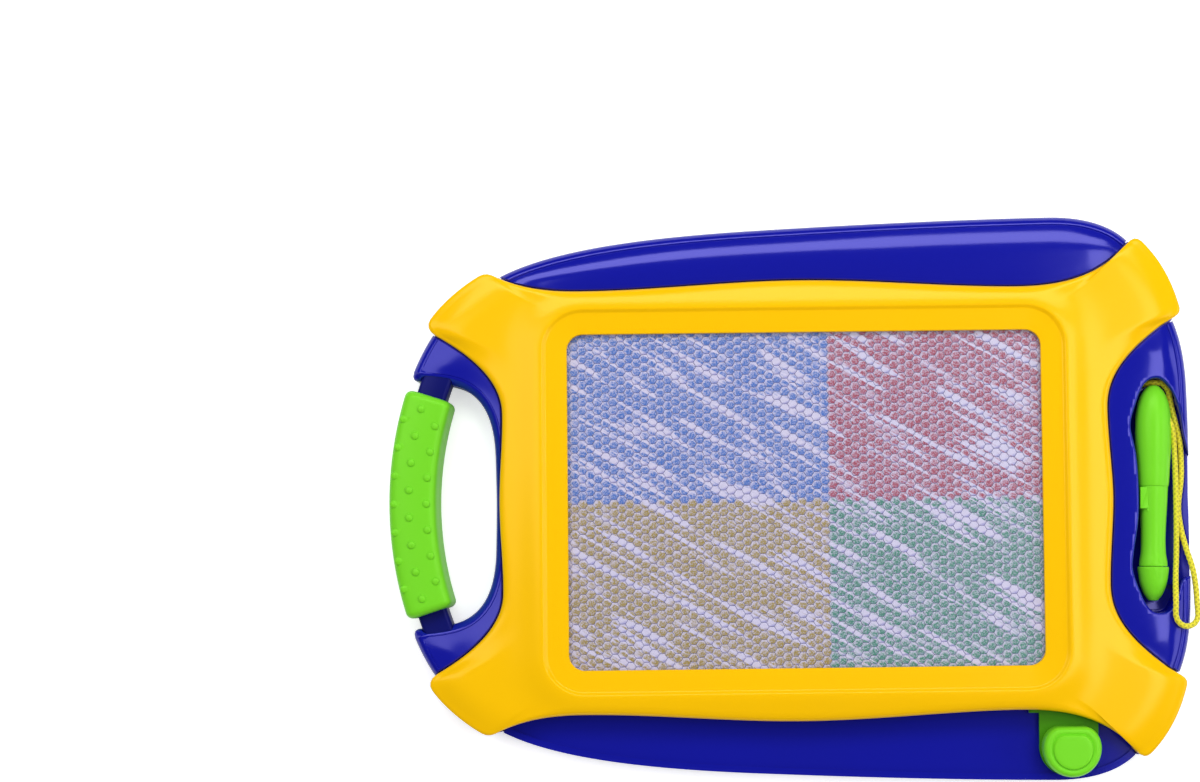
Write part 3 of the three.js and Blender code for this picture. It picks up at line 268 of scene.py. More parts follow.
SHELL_SHARES = (
    (0.999, 0),
    (1.001, 0.150, 1.000, 0.300, 0.997, 0.412),
    (0.993, 0.509, 0.981, 0.577, 0.966, 0.626),
    (0.970, 0.634, 0.978, 0.652, 0.974, 0.682),
    (0.957, 0.769, 0.928, 0.842, 0.886, 0.900),
    (0.876, 0.913, 0.865, 0.917, 0.855, 0.913),
    (0.820, 0.963, 0.757, 1.000, 0.661, 1.000),
    (0.397, 0.996, 0.132, 0.980, -0.116, 0.962),
    (-0.370, 0.942, -0.598, 0.903, -0.728, 0.806),
    (-0.745, 0.813, -0.758, 0.813, -0.770, 0.803),
    (-0.812, 0.770, -0.863, 0.707, -0.891, 0.652),
    (-0.896, 0.640, -0.895, 0.622, -0.890, 0.608),
    (-0.910, 0.569, -0.931, 0.509, -0.941, 0.473),
    (-0.947, 0.445, -0.940, 0.436, -0.922, 0.437),
    (-0.868, 0.431, -0.828, 0.424, -0.799, 0.393),
    (-0.759, 0.352, -0.740, 0.277, -0.738, 0.165),
    (-0.737, 0.105, -0.736, 0.052, -0.736, 0),
)
STEP = 2.6


def outline(shares):
    """Points round the whole outline, about a step apart, anticlockwise."""
    at = lambda x, y: Vector((x * HALF_LENGTH, y * HALF_WIDTH))
    upper = []
    start = at(*shares[0])
    for ax, ay, bx, by, x, y in shares[1:]:
        reach = (at(x, y) - start).length
        steps = max(4, round(reach / STEP))
        curve = interpolate_bezier(start, at(ax, ay), at(bx, by), at(x, y), steps + 1)
        upper += [p.copy() for p in curve[:-1]]
        start = at(x, y)
    lower = [Vector((p.x, -p.y)) for p in reversed(upper[1:])]
    return upper + [start] + lower


bezel_line = outline(BEZEL_SHARES)
shell_line = outline(SHELL_SHARES)
print("points", len(bezel_line), len(shell_line))

# %% [markdown]
# ### Distances and insets
# A wall of even thickness needs the outline again, moved inwards. Pushing every point along its own
# normal does that, except in the notches beside the paws, where points would pass each other. A
# tree of nearest points finds those, and they are spread evenly between their sound neighbours.

# %% Measuring to an outline, and insetting it
FOLD_SLACK = 0.04


class Line:
    """A closed outline that can say how far away a point is."""

    def __init__(self, points):
        self.points = points
        self.tree = KDTree(len(points))
        for number, p in enumerate(points):
            self.tree.insert((p.x, p.y, 0), number)
        self.tree.balance()

    def distance(self, point):
        best = 1e9
        for _, number, _ in self.tree.find_n((point.x, point.y, 0), 3):
            for other in (number - 1, (number + 1) % len(self.points)):
                a, b = self.points[number], self.points[other]
                foot, share = intersect_point_line(point, a, b)
                foot = a.lerp(b, min(1, max(0, share)))
                best = min(best, (point - foot).length)
        return best


def inset(points, distance):
    """Moves an outline inwards, and spreads the points that would fold over in a notch."""
    count = len(points)
    moved = []
    for number, p in enumerate(points):
        along = (points[(number + 1) % count] - points[number - 1]).normalized()
        moved.append(p + Vector((-along.y, along.x)) * distance)
    line = Line(points)
    bad = [line.distance(p) < abs(distance) - FOLD_SLACK for p in moved]
    if not any(bad) or all(bad):
        return moved
    first = bad.index(False)
    run = []
    for number in [(first + k) % count for k in range(1, count + 1)]:
        if bad[number]:
            run.append(number)
            continue
        before = moved[(run[0] - 1) % count] if run else None
        for place, item in enumerate(run, 1):
            moved[item] = before.lerp(moved[number], place / (len(run) + 1))
        run = []
    return moved


shell_edge = Line(shell_line)
bezel_edge = Line(bezel_line)
print("bezel's side to shell's side", round(shell_edge.distance(bezel_line[0]), 1), "mm")

# %% [markdown]
# ## Finishes made of nodes
# Every finish is a small graph of nodes. Picture textures would be quicker, but they stretch and
# repeat, and noises that are measured in the object's own space never do. A few helpers add a node,
# fill its sockets and name what comes out, so that each finish reads like a recipe.

# %% Helpers for nodes
def material_named(name):
    material = bpy.data.materials.new(name)
    material.use_nodes = True
    return material


def add_node(material, kind, inputs=(), **choices):
    """Adds a node, makes its choices, and fills or links its inputs."""
    node = material.node_tree.nodes.new("ShaderNode" + kind)
    for name, value in choices.items():
        setattr(node, name, value)
    fill(material, node, inputs)
    return node


def fill(material, node, inputs):
    for socket, value in dict(inputs).items():
        if isinstance(value, bpy.types.NodeSocket):
            material.node_tree.links.new(value, node.inputs[socket])
        else:
            node.inputs[socket].default_value = value


def surface(material, settings):
    """Fills the sockets of the material's own shader."""
    fill(material, material.node_tree.nodes["Principled BSDF"], settings)
    return material


def worked(material, operation, values, kind="Math", **choices):
    """One step of arithmetic on values or sockets."""
    node = add_node(material, kind, dict(enumerate(values)), operation=operation, **choices)
    return next(output for output in node.outputs if output.enabled)


def noise(material, vector, scale, detail=2):
    settings = {"Vector": vector, "Scale": scale, "Detail": detail}
    return add_node(material, "TexNoise", settings).outputs["Fac"]


def ranged(material, value, low, high, start=0, end=1):
    settings = {"Value": value, "From Min": start, "From Max": end, "To Min": low, "To Max": high}
    return add_node(material, "MapRange", settings).outputs["Result"]


def mixed(material, factor, first, second):
    mix = add_node(material, "Mix", data_type="RGBA")
    fill(material, mix, {0: factor, 6: first, 7: second})
    return mix.outputs[2]


def tinted(material, factor, first, second):
    return mixed(material, factor, (*first, 1), (*second, 1))


print("node helpers:", [helper.__name__ for helper in (worked, noise, ranged, mixed, tinted)])

# %% [markdown]
# ### Plastic
# Moulded toy plastic is coloured right through and shines where the mould was polished. One shader
# does for all of it: a strong colour, a low roughness that wanders a little so that reflections are
# not perfect, and a very fine waviness in the surface, which real mouldings always have.

# %% The plastics
def plastic(name, colour, gleam, level=0.5, roughness=0.22, waviness=0.05, grain=0.02, deep=0.92):
    """A glossy moulded plastic whose colour, shine and flatness all vary a little."""
    material = material_named(name)
    place = add_node(material, "TexCoord").outputs["Object"]
    slow = noise(material, place, 14)
    fine = noise(material, place, 900)
    wave = add_node(material, "Bump", {"Strength": waviness, "Distance": 4 * MM, "Height": slow})
    skin = add_node(material, "Bump", {
        "Strength": grain, "Distance": 0.2 * MM, "Height": fine, "Normal": wave.outputs["Normal"],
    })
    return surface(material, {
        "Base Color": tinted(material, slow, colour, [c * deep for c in colour]),
        "Roughness": ranged(material, slow, roughness - 0.04, roughness + 0.05),
        "IOR": 1.5,
        "Specular IOR Level": level,
        "Specular Tint": (*gleam, 1),
        "Normal": skin.outputs["Normal"],
    })


YELLOW = plastic("yellow_plastic", (0.95, 0.53, 0.0), (1, 0.86, 0.35), 0.5, roughness=0.2, deep=0.97)
BLUE = plastic("blue_plastic", (0.006, 0.0085, 0.335), (0.42, 0.40, 1), 1.0, roughness=0.13)
# painted shade: the bar's blue is the shell's blue darkened for the shade it lies in
SHADED_BLUE = plastic("handle_bar_painted_shade", (0.004, 0.006, 0.13), (0.4, 0.4, 1), 0.25, roughness=0.3)
GREEN = plastic("green_plastic", (0.18, 0.70, 0.02), (0.6, 1, 0.3), roughness=0.34)
# painted shade: the arm's green is the knob's green darkened for the shade it lies in under the bezel
SHADED_GREEN = plastic("eraser_arm_painted_shade", (0.055, 0.26, 0.004), (0.6, 1, 0.3), 0.3, roughness=0.4)
print("plastics", [m.name for m in (YELLOW, BLUE, SHADED_BLUE, GREEN, SHADED_GREEN)])

# %% [markdown]
# ### Steel and dull surfaces
# Screws are plated steel, and the magnet, the films and the braid are dull. Both kinds are the same
# shader with other numbers: steel is metallic with fine rings in it, and a dull surface is mottled
# by a noise that also lifts it a little.

# %% Metal and matt
def metal(name, colour):
    """Bright plated steel with the fine rings of turning."""
    material = material_named(name)
    place = add_node(material, "TexCoord").outputs["Object"]
    rings = noise(material, place, 1400)
    bump = add_node(material, "Bump", {"Strength": 0.15, "Distance": 0.05 * MM, "Height": rings})
    return surface(material, {
        "Base Color": tinted(material, rings, colour, [c * 0.8 for c in colour]),
        "Metallic": 1,
        "Roughness": ranged(material, rings, 0.25, 0.4),
        "Normal": bump.outputs["Normal"],
    })


def matt(name, colour, other, scale, roughness=0.7, depth=0.1):
    """A dull surface that is mottled and a little uneven."""
    material = material_named(name)
    place = add_node(material, "TexCoord").outputs["Object"]
    mottle = noise(material, place, scale, 4)
    bump = add_node(material, "Bump", {"Strength": 0.3, "Distance": depth * MM, "Height": mottle})
    return surface(material, {
        "Base Color": tinted(material, mottle, colour, other),
        "Roughness": roughness,
        "Normal": bump.outputs["Normal"],
    })


def dress(piece, material):
    """Gives the whole piece one finish."""
    piece.data.materials.clear()
    piece.data.materials.append(material)
    return piece


print("other finishes:", [helper.__name__ for helper in (metal, matt)])

# %% [markdown]
# ## The yellow bezel
# The bezel is one hollow moulding. From the window's edge it rises over a flat slab to a low ridge,
# then falls gently to a rounded rim, and its four corners reach down over the blue shell. Each point
# of the outline looks back at the nearest point of the window, and the rings between the two give the
# profile, so the ridge stays parallel to the window while the rim follows the outline.

# %% Bezel profile
SLAB_WIDTH, STEP_WIDTH = 10.2, 1.6
LIP_Z, SLAB_Z, RIDGE_Z, SKIRT_Z, PAW_SKIRT_Z = 22.3, 23.3, 24.5, 16.7, 9.0
FALL, FALL_LENGTH = 2.6, 9.5
PAW_REACH, RIGHT_PAW, LEFT_PAW = (26, 64), (161.2, 80.1), (-135.8, 78.4)
PAW_RISE, PAW_RISE_FROM, PAW_RISE_TO = 0.5, 15, 60
TIP_FALL, TIP_LENGTH, TIP_FLAT = 2.8, 14, 3.4
RIM, PAW_RIM_SHARE = 3.08, 0.35


def in_paw(p):
    """True where the bezel's corners reach down over the shell."""
    right = p.x > RIGHT_PAW[0] and abs(p.y) > RIGHT_PAW[1]
    return right or (p.x < LEFT_PAW[0] and abs(p.y) > LEFT_PAW[1])


def with_breaks(points, test):
    """Adds a close pair of points wherever the outline crosses a boundary, for a sharp step there."""
    result = []
    for number, p in enumerate(points):
        q = points[(number + 1) % len(points)]
        result.append(p)
        if test(p) != test(q):
            low, high = 0.0, 1.0
            for _ in range(20):
                middle = (low + high) / 2
                low, high = (middle, high) if test(p.lerp(q, middle)) == test(p) else (low, middle)
            result += [p.lerp(q, low), p.lerp(q, high + 0.02)]
    return result


def smooth(value, low, high):
    t = min(1, max(0, (value - low) / (high - low)))
    return t * t * (3 - 2 * t)


def window_foot(p):
    """Nearest point of the window's rounded edge, the way outwards from it, and the distance."""
    flat = WINDOW_HALF - Vector((WINDOW_CORNER, WINDOW_CORNER))
    core = Vector((
        WINDOW_X + min(flat.x, max(-flat.x, p.x - WINDOW_X)),
        min(flat.y, max(-flat.y, p.y)),
    ))
    way = (p - core).normalized()
    return core + way * WINDOW_CORNER, way, (p - core).length - WINDOW_CORNER


spokes = [(p, *window_foot(p)) for p in with_breaks(bezel_line, in_paw)]
print("points round the bezel", len(spokes))

# %% [markdown]
# ### The bezel's slope
# Outside the ridge the top falls away in a soft curve. Where the outline reaches far out, the slope
# swells a little into a paw, and the paw's tip bends down. One rule for the height gives all of it,
# and because every term fades in and out smoothly, no seam shows where a paw begins.

# %% Height of the slope
def paw_of(reach):
    """How much of a paw the bezel is where it reaches this far from the window, from 0 to 1."""
    return smooth(reach, *PAW_REACH)


def crown(reach, distance):
    """Height of the bezel's outer slope at a distance from the window; the paws' tips bend down."""
    out = distance - SLAB_WIDTH - STEP_WIDTH
    fall = FALL * (1 - math.exp(-(out / FALL_LENGTH) ** 2))
    rise = PAW_RISE * smooth(out, PAW_RISE_FROM, PAW_RISE_TO)
    tip = max(0, 1 - max(0, reach - distance - TIP_FLAT) / TIP_LENGTH)
    return RIDGE_Z - fall + paw_of(reach) * (rise - TIP_FALL * tip * tip)


def bezel_ring(distance_of, height_of):
    """One ring of the bezel, from the rules for its distance and its height."""
    ring = []
    for p, edge, way, reach in spokes:
        distance = distance_of(p, reach)
        place = edge + way * distance
        ring.append((place.x, place.y, height_of(p, reach, distance)))
    return ring


def rim_ring(back, down):
    """A ring near the rim: so far back from the edge, and so far down the rounding."""
    return bezel_ring(
        lambda p, reach: reach - back,
        lambda p, reach, d: crown(reach, d) - down * (1 - PAW_RIM_SHARE * paw_of(reach)),
    )


print("slope falls", FALL, "mm, tips of the paws fall", TIP_FALL, "mm more")

# %% [markdown]
# ### One sheet over the top and back inside
# The bezel is hollow underneath, so its profile is a closed loop: up from the window, over the slab,
# the ridge and the slope, round the rim, down the skirt and back under the top. A solidify modifier
# could thicken a plain surface, but only a closed profile gives the skirt its own length at the paws.

# %% Bezel rings
WALL, KNUCKLE, SLOPE_RINGS, RIM_BAND = 2.2, 9, 16, 5.1
INNER_Z, INNER_REACH = 20.2, 8.2
ridge = SLAB_WIDTH + STEP_WIDTH
flat_profile = (
    (0, LIP_Z - 1.6), (0.05, LIP_Z - 0.5), (0.3, LIP_Z - 0.12), (0.9, LIP_Z), (5, 22.85),
    (SLAB_WIDTH - 0.5, SLAB_Z - 0.08), (SLAB_WIDTH - 0.1, SLAB_Z), (SLAB_WIDTH + 0.35, SLAB_Z + 0.25),
    (ridge - 0.55, RIDGE_Z - 0.3), (ridge - 0.1, RIDGE_Z - 0.06), (ridge + 0.5, RIDGE_Z),
)
rings = [bezel_ring(lambda p, reach, d=d: d, lambda p, reach, d_, z=z: z) for d, z in flat_profile]
for step in range(1, SLOPE_RINGS + 1):
    rings.append(bezel_ring(
        lambda p, reach, s=step / (SLOPE_RINGS + 1): ridge + 0.5 + s * (reach - ridge - RIM_BAND),
        lambda p, reach, d: crown(reach, d),
    ))
rings += [
    rim_ring(4.6, 0.0), rim_ring(RIM, 0.12), rim_ring(0.6 * RIM, 0.42), rim_ring(0.28 * RIM, 1.0),
    rim_ring(0.08 * RIM, 1.8), rim_ring(0, RIM),
]
skirt = lambda p: PAW_SKIRT_Z if in_paw(p) else SKIRT_Z
rings += [
    bezel_ring(lambda p, r: r, lambda p, r, d: skirt(p) + 0.4),
    bezel_ring(lambda p, r: r - 0.3, lambda p, r, d: skirt(p)),
    bezel_ring(lambda p, r: r - WALL, lambda p, r, d: skirt(p)),
    bezel_ring(lambda p, r: r - WALL, lambda p, r, d: max(crown(r, d) - 1.6 * WALL, SKIRT_Z + 0.3)),
    bezel_ring(lambda p, r: max(r - KNUCKLE, ridge + 1.5 * WALL), lambda p, r, d: crown(r, d) - WALL),
    bezel_ring(lambda p, r: ridge + WALL, lambda p, r, d: RIDGE_Z - WALL),
    bezel_ring(lambda p, r: INNER_REACH, lambda p, r, d: INNER_Z),
    bezel_ring(lambda p, r: 0, lambda p, r, d: INNER_Z),
]
bezel = dress(settle(loft("bezel", rings, looped=True), 34), YELLOW)
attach(bezel, "board")
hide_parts("front_bezel")
print("bezel faces", len(bezel.data.polygons))

# %% [markdown]
# ## The blue shell
# The front shell is the body of the toy. Its wall rounds over to a crease, and inside the crease the
# band swells up and sinks again towards the bezel. One rule gives that swell nearly everywhere: it
# depends only on how far a point is from the edge and from the bezel. Only the lugs of the handle
# and the strips beside the hand hole are different, because no crease runs along them.

# %% The band's swell
PARTING_Z, DECK_Z, SHOULDER_Z, CREASE = 7.0, 16.4, 18.0, 4.3
SWELL, FULL_SWELL_WIDTH, SWELL_START = 2.5, 22, 0.5
CREST_MOST, CREST_SHARE, INNER_STRETCH, UNDER_BEZEL = 12, 0.42, 1.35, 4
HAND_X, HAND_Y = -128, 92


def beside_hand(p):
    """The lugs of the handle and the strips beside the hand hole, which have no crease."""
    return p.x < HAND_X and abs(p.y) < HAND_Y


def swell(p):
    """Height of the blue band's top at a point of the plan."""
    outer = shell_edge.distance(p) - CREASE
    if beside_hand(p):
        outer = max(outer, 0)
    width = outer + bezel_edge.distance(p) + UNDER_BEZEL
    crest = min(CREST_MOST, CREST_SHARE * width)
    away = (outer - crest) / (crest if outer < crest else (width - crest) * INNER_STRETCH)
    height = SWELL * min(1, width / FULL_SWELL_WIDTH)
    return SHOULDER_Z - SWELL_START + height * (1 - away * away)


print("middle of the top band", round(swell(Vector((40, 118))), 2), "mm high")

# %% [markdown]
# ### The shell's wall and its top
# The wall is drawn in rings. The top is a fine grid, pushed up by the rule and then smoothed in
# height alone, so that its plan stays put. Beside the hand hole it is smoothed for longer, which
# takes the crease out there. Extruded to a slab and trimmed to the crease, it is joined to the wall.

# %% Shell body
GRID_COLUMNS, GRID_ROWS, GRID_MARGIN = 300, 214, 2
COVERED = Vector((118, 86))
SLAB_BOTTOM, TRIM_LOW, TRIM_HIGH = 12, 10, 30
wall_profile = (
    (0, PARTING_Z), (0, 12.6), (0.12, 13.7), (0.5, 14.9), (1.1, 16.0), (2.0, 16.95),
    (2.9, 17.6), (3.5, 17.88), (3.9, 17.92), (4.2, 17.78), (4.6, 17.3), (6, 16.8),
)
shell = loft("shell", [level(inset(shell_line, back), z) for back, z in wall_profile])
grid_half = Vector((HALF_LENGTH + GRID_MARGIN, HALF_WIDTH + GRID_MARGIN))
bpy.ops.object.select_all(action="DESELECT")
bpy.ops.mesh.primitive_grid_add(x_subdivisions=GRID_COLUMNS, y_subdivisions=GRID_ROWS, size=2 * MM)
top = bpy.context.object
for vertex in top.data.vertices:
    p = Vector((vertex.co.x / MM * grid_half.x, vertex.co.y / MM * grid_half.y))
    seen = not (abs(p.x - WINDOW_X) < COVERED.x and abs(p.y) < COVERED.y)
    vertex.co = Vector((p.x, p.y, swell(p) if seen else DECK_Z)) * MM
editing(top)
bpy.ops.mesh.select_all(action="SELECT")
bpy.ops.mesh.vertices_smooth(factor=0.5, repeat=10, xaxis=False, yaxis=False, zaxis=True)
done_editing()
select_vertices(top, [vertex.index for vertex in top.data.vertices if beside_hand(vertex.co / MM)])
bpy.ops.object.mode_set(mode="EDIT")
bpy.ops.mesh.vertices_smooth(factor=0.5, repeat=40, xaxis=False, yaxis=False, zaxis=True)
bpy.ops.mesh.select_all(action="SELECT")
bpy.ops.mesh.extrude_region_move()
done_editing()
for vertex in top.data.vertices:
    if vertex.select:
        vertex.co.z = SLAB_BOTTOM * MM
settle(top)
common(top, prism(inset(shell_line, CREASE), TRIM_LOW, TRIM_HIGH))
add(shell, top)
print("shell faces", len(shell.data.polygons))

# %% [markdown]
# ### Cores that hollow the shell
# Under the bezel the shell is only a flange, and the bottom band is a channel for the eraser's arm.
# Where a cutter leaves an edge that shows, its own wall flares at the height of the band, and that
# flare is the rounded lip. A bevel modifier would find no clean loop there to follow.

# %% Shapes of the cores
HIGH, FAR_X, FAR_Y = 40, 200, 150
FRAME_HALF, FRAME_GAP, FRAME_CORNER = Vector((131.8, 88.0)), Vector((0.9, 0.9)), 6.6


def rounded_rectangle(centre_x, half, radius, steps=8):
    """Points round a rectangle with rounded corners, anticlockwise."""
    points = []
    for quarter, (sx, sy) in enumerate(((1, 1), (-1, 1), (-1, -1), (1, -1))):
        for step in range(steps + 1):
            angle = (quarter + step / steps) * math.pi / 2
            points.append(Vector((
                centre_x + sx * (half.x - radius) + radius * math.cos(angle),
                sy * (half.y - radius) + radius * math.sin(angle),
            )))
    return points


def following(points, back, below):
    """A ring that keeps a distance below, or above, the band's swelling top."""
    return [(p.x, p.y, swell(p) + below) for p in inset(points, back)]


def paw_blocks(low, high, grow):
    """Four boxes over the bezel's corners, grown a little on their inner sides."""
    blocks = []
    for side in (1, -1):
        right_y = sorted((side * (RIGHT_PAW[1] - grow), side * FAR_Y))
        left_y = sorted((side * (LEFT_PAW[1] - grow), side * FAR_Y))
        blocks.append(block((RIGHT_PAW[0] - grow, FAR_X), right_y, (low, high)))
        blocks.append(block((-FAR_X, LEFT_PAW[0] + grow), left_y, (low, high)))
    return blocks


frame_room = rounded_rectangle(WINDOW_X, FRAME_HALF + FRAME_GAP, FRAME_CORNER)
print("room for the screen's frame", len(frame_room), "points")

# %% [markdown]
# ### Seat, channel and hollow
# The bezel drops into a seat round the deck, and its paws into four recesses. The channel runs the
# whole width, because the knob slides along it. The last core empties the inside, except where a
# wall has to stay: round the seat, the paws, the lugs and the pen's pocket.

# %% Cutting the cores
SEAT_GAP, PAW_SEAT_Z, PAW_GAP = 0.5, 8.7, 0.3
CHANNEL_X, CHANNEL_Y, CHANNEL_Z = (-151.2, 162.0), -89.5, 9.5
LIP_TOP_Z, CHANNEL_LIP, FLANGE_WIDTH = 10.8, 3.2, 7
HOLLOW_WALL, HOLLOW_TOP, LUG_Y = 3, 15.8, (55, 78)
seat = loft("seat", [
    level(inset(bezel_line, -SEAT_GAP), DECK_Z),
    following(bezel_line, -SEAT_GAP, -0.7),
    following(bezel_line, -0.65, -0.25),
    following(bezel_line, -1.1, 0.08),
    level(inset(bezel_line, -1.2), HIGH),
])
cut(shell, seat)
for zone in paw_blocks(PAW_SEAT_Z, HIGH, PAW_GAP):
    cut(shell, common(prism(inset(bezel_line, -SEAT_GAP), PAW_SEAT_Z, HIGH), zone))
cut(shell, block(CHANNEL_X, (-FAR_Y, CHANNEL_Y), (LIP_TOP_Z, HIGH)))
floor_cut = prism(inset(shell_line, CHANNEL_LIP), CHANNEL_Z, HIGH)
cut(shell, common(floor_cut, block(CHANNEL_X, (-FAR_Y, -86.5), (0, HIGH))))
middle = prism(frame_room, 0, HIGH)
flange = prism(inset(bezel_line, FLANGE_WIDTH), 0, HIGH)
cut(flange, block((-FAR_X, FAR_X), (-FAR_Y, -88.9), (-1, HIGH + 1)))
cut(shell, flange, middle)
hollow = prism(inset(shell_line, HOLLOW_WALL), 0, HOLLOW_TOP)
hollow_keep = [
    prism(inset(bezel_line, -2.8), 14.2, HIGH),
    *paw_blocks(7.1, HIGH, 0),
    block(CHANNEL_X, (-FAR_Y, CHANNEL_Y), (7.3, HIGH)),
    block((-FAR_X, CHANNEL_X[0]), LUG_Y, (0, HIGH)),
    block((-FAR_X, CHANNEL_X[0]), (-LUG_Y[1], -LUG_Y[0]), (0, HIGH)),
    block((140, FAR_X), (-62, 62), (-1, HIGH)),
]
cut(shell, cut(hollow, *hollow_keep))
print("hollowed shell faces", len(shell.data.polygons))

# %% [markdown]
# ### The pen's pocket
# The pen lies in a boat-shaped pocket with a waist, and beside the cord the pocket runs out through
# the board's edge. Its outline is drawn with few corners, and cutting the corners twice rounds it
# just as a subdivision would, while it stays a plain ring that can be inset.

# %% Outline of the pocket
POCKET_X, POCKET_REACH, POCKET_HALF = 172.4, 19, 55.6
POCKET_SHARES = (
    (0.04, 1.002), (-0.07, 0.994), (-0.17, 0.977), (-0.29, 0.935), (-0.39, 0.861), (-0.475, 0.775),
    (-0.54, 0.71), (-0.585, 0.655), (-0.607, 0.605), (-0.598, 0.552), (-0.547, 0.475), (-0.489, 0.381),
    (-0.45, 0.25), (-0.436, 0.12), (-0.432, 0), (-0.436, -0.12), (-0.47, -0.25), (-0.547, -0.4),
    (-0.605, -0.53), (-0.62, -0.59), (-0.61, -0.64), (-0.542, -0.721), (-0.453, -0.802),
    (-0.363, -0.883), (-0.247, -0.948), (-0.132, -0.986), (0.032, -0.997), (0.2, -0.987),
    (0.316, -0.966), (0.42, -0.898), (0.51, -0.827), (0.558, -0.761), (0.63, -0.715), (0.72, -0.69),
    (0.88, -0.68), (1.25, -0.675), (1.25, 0.24), (0.95, 0.29), (0.83, 0.37), (0.76, 0.46),
    (0.705, 0.554), (0.663, 0.673), (0.584, 0.79), (0.484, 0.871), (0.379, 0.928), (0.237, 0.978),
    (0.14, 0.996),
)
pocket_corners = [Vector((POCKET_X + x * POCKET_REACH, y * POCKET_HALF)) for x, y in POCKET_SHARES]


def refined(points, times=2):
    """Rounds a closed outline by cutting its corners, which adds points."""
    for _ in range(times):
        result = []
        for number, p in enumerate(points):
            q = points[(number + 1) % len(points)]
            result += [p.lerp(q, 0.25), p.lerp(q, 0.75)]
        points = result
    return points


pocket_line = refined(pocket_corners)
print("pocket outline", len(pocket_line), "points")

# %% [markdown]
# ### Cutting the pocket
# First a well is added round the outline, so that the pocket has walls of its own inside the hollow
# shell. Then a core is cut out of it: rounded at the floor, straight at the walls and flared at the
# top. The scallop beside it is a slope for the finger, down to the low rim.

# %% Well, core and scallop
POCKET_FLOOR, RIM_Z, ROOM_HIGH = 4.15, 10.5, 15.4
WELL_LOW, WELL_HIGH, CORD_END_Y, SIDE_X = 2.6, 15.8, (46, 80), (150, 200)
HOLE_PLACE, HOLE_SIZE = (168.7, 53.5), 1.85


def pocket_core(floor):
    """The pocket's core: a rounded floor, straight walls and a lip that flares into the band's top."""
    return loft("core", [
        level(inset(pocket_line, 1.6), floor),
        level(inset(pocket_line, 0.7), floor + 0.3),
        level(inset(pocket_line, 0.15), floor + 1.0),
        level(inset(pocket_line, 0), floor + 2),
        following(pocket_line, 0, -1.3),
        following(pocket_line, -0.18, -0.7),
        following(pocket_line, -0.5, -0.25),
        following(pocket_line, -1.1, 0.04),
        level(inset(pocket_line, -1.4), HIGH),
    ])


def scallop(above):
    """The finger slope from the pocket's floor out to the low rim, or the room above it."""
    edge = HIGH if above else 0
    slope = [(178, 6), (200, 15), (200, edge), (178, edge)]
    rings = [[(x, y, z) for x, z in slope] for y in (-42, 20)]
    return settle(loft("scallop", rings))


def inner():
    """Everything that lies inside the shell's wall."""
    return prism(inset(shell_line, 4.45), 0, HIGH)


well = prism(inset(pocket_line, -2), WELL_LOW, WELL_HIGH)
end_wall = prism(inset(pocket_line, -3.5), WELL_LOW, WELL_HIGH)
add(well, common(end_wall, block((150, 195), CORD_END_Y, (0, HIGH))))
common(well, prism(inset(shell_line, 2.85), 0, HIGH))
add(shell, well)
deep = common(pocket_core(POCKET_FLOOR), inner())
cut(deep, block(SIDE_X, (49.6, 80), (0, 7.0)), scallop(False))
cut(shell, deep)
cut(shell, common(pocket_core(0), block(SIDE_X, (-80, 80), (RIM_Z, HIGH + 1))))
cut(shell, common(pocket_core(0), scallop(True)))
undercut = common(prism(inset(pocket_line, -1.5), 7.0, ROOM_HIGH), block(SIDE_X, CORD_END_Y, (0, HIGH)))
cord_hole = post(*HOLE_PLACE, HOLE_SIZE, 0, 10)
cut(shell, common(undercut, inner()), cord_hole)
cut(shell, block((150, 190), (51.2, 59.2), (0, 5.4)))
print("shell with its pocket", len(shell.data.polygons))

# %% [markdown]
# ## The handle
# A bar curves from lug to lug, and two green grip halves close round it. Its blue is the shell's,
# painted darker as painted shade for the shade it lies in. Bar and grip are the same kind of shape: a
# section spun about the handle's own centre. The rubbery bumps are one small dome, copied in three rows.

# %% Handle sections
HANDLE_CENTRE = Vector((-11.52, 0))
HANDLE_RADIUS = 165.83
GRIP_ANGLE, BAR_REACH = 17.91, 66


def on_handle(angle, outward, z):
    """A point at an angle along the handle, so far outwards from its middle line."""
    radius = HANDLE_RADIUS + outward
    turned = math.radians(angle)
    return (HANDLE_CENTRE.x - radius * math.cos(turned), radius * math.sin(turned), z)


def handle_sweep(name, section, angles, scales=None, middle=13.65):
    """Sets a section at each angle along the handle, shrunk about its middle height where asked."""
    rings = []
    for number, angle in enumerate(angles):
        scale = scales[number] if scales else 1
        rings.append([on_handle(angle, x * scale, middle + (z - middle) * scale) for x, z in section])
    return loft(name, rings)


def even(end, steps):
    """Even steps from one end through nought to the other."""
    return [end * (2 * step / steps - 1) for step in range(steps + 1)]


grip_length = math.radians(2 * GRIP_ANGLE) * HANDLE_RADIUS
print("bar spans", 2 * BAR_REACH, "mm, grip", round(grip_length, 1), "mm")

# %% [markdown]
# ### The bar in its sockets
# The bar's section is a rounded rectangle. The same bar, grown by 0.3 mm, cuts its own sockets in the
# lugs, as a core would, so the two fit wherever the bar goes. With that the front shell is complete,
# and it gets its finish and its place among the CAD nodes.

# %% Bar
SOCKET_GAP = 0.3


def bar_section(grow):
    """A rounded rectangle, as pairs of outward distance and height, grown on every side."""
    half, low, high, corner = 7 + grow, 5.8 - grow, 17.2 + grow, 2
    points = []
    for quarter, (sx, sz) in enumerate(((1, 1), (-1, 1), (-1, -1), (1, -1))):
        for step in range(5):
            angle = (quarter + step / 4) * math.pi / 2
            x = sx * (half - corner) + corner * math.cos(angle)
            z = (high + low) / 2 + sz * ((high - low) / 2 - corner) + corner * math.sin(angle)
            points.append((x, z))
    return points


def bar_solid(grow, reach):
    """The bar, grown and reaching a little further where it serves as a cutter."""
    end = math.degrees(math.asin((BAR_REACH + reach) / HANDLE_RADIUS))
    return handle_sweep("handle_bar_core", bar_section(grow), even(end, 40))


cut(shell, bar_solid(SOCKET_GAP, SOCKET_GAP))
dress(settle(shell, 32), BLUE)
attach(shell, "board")
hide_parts("front_shell")

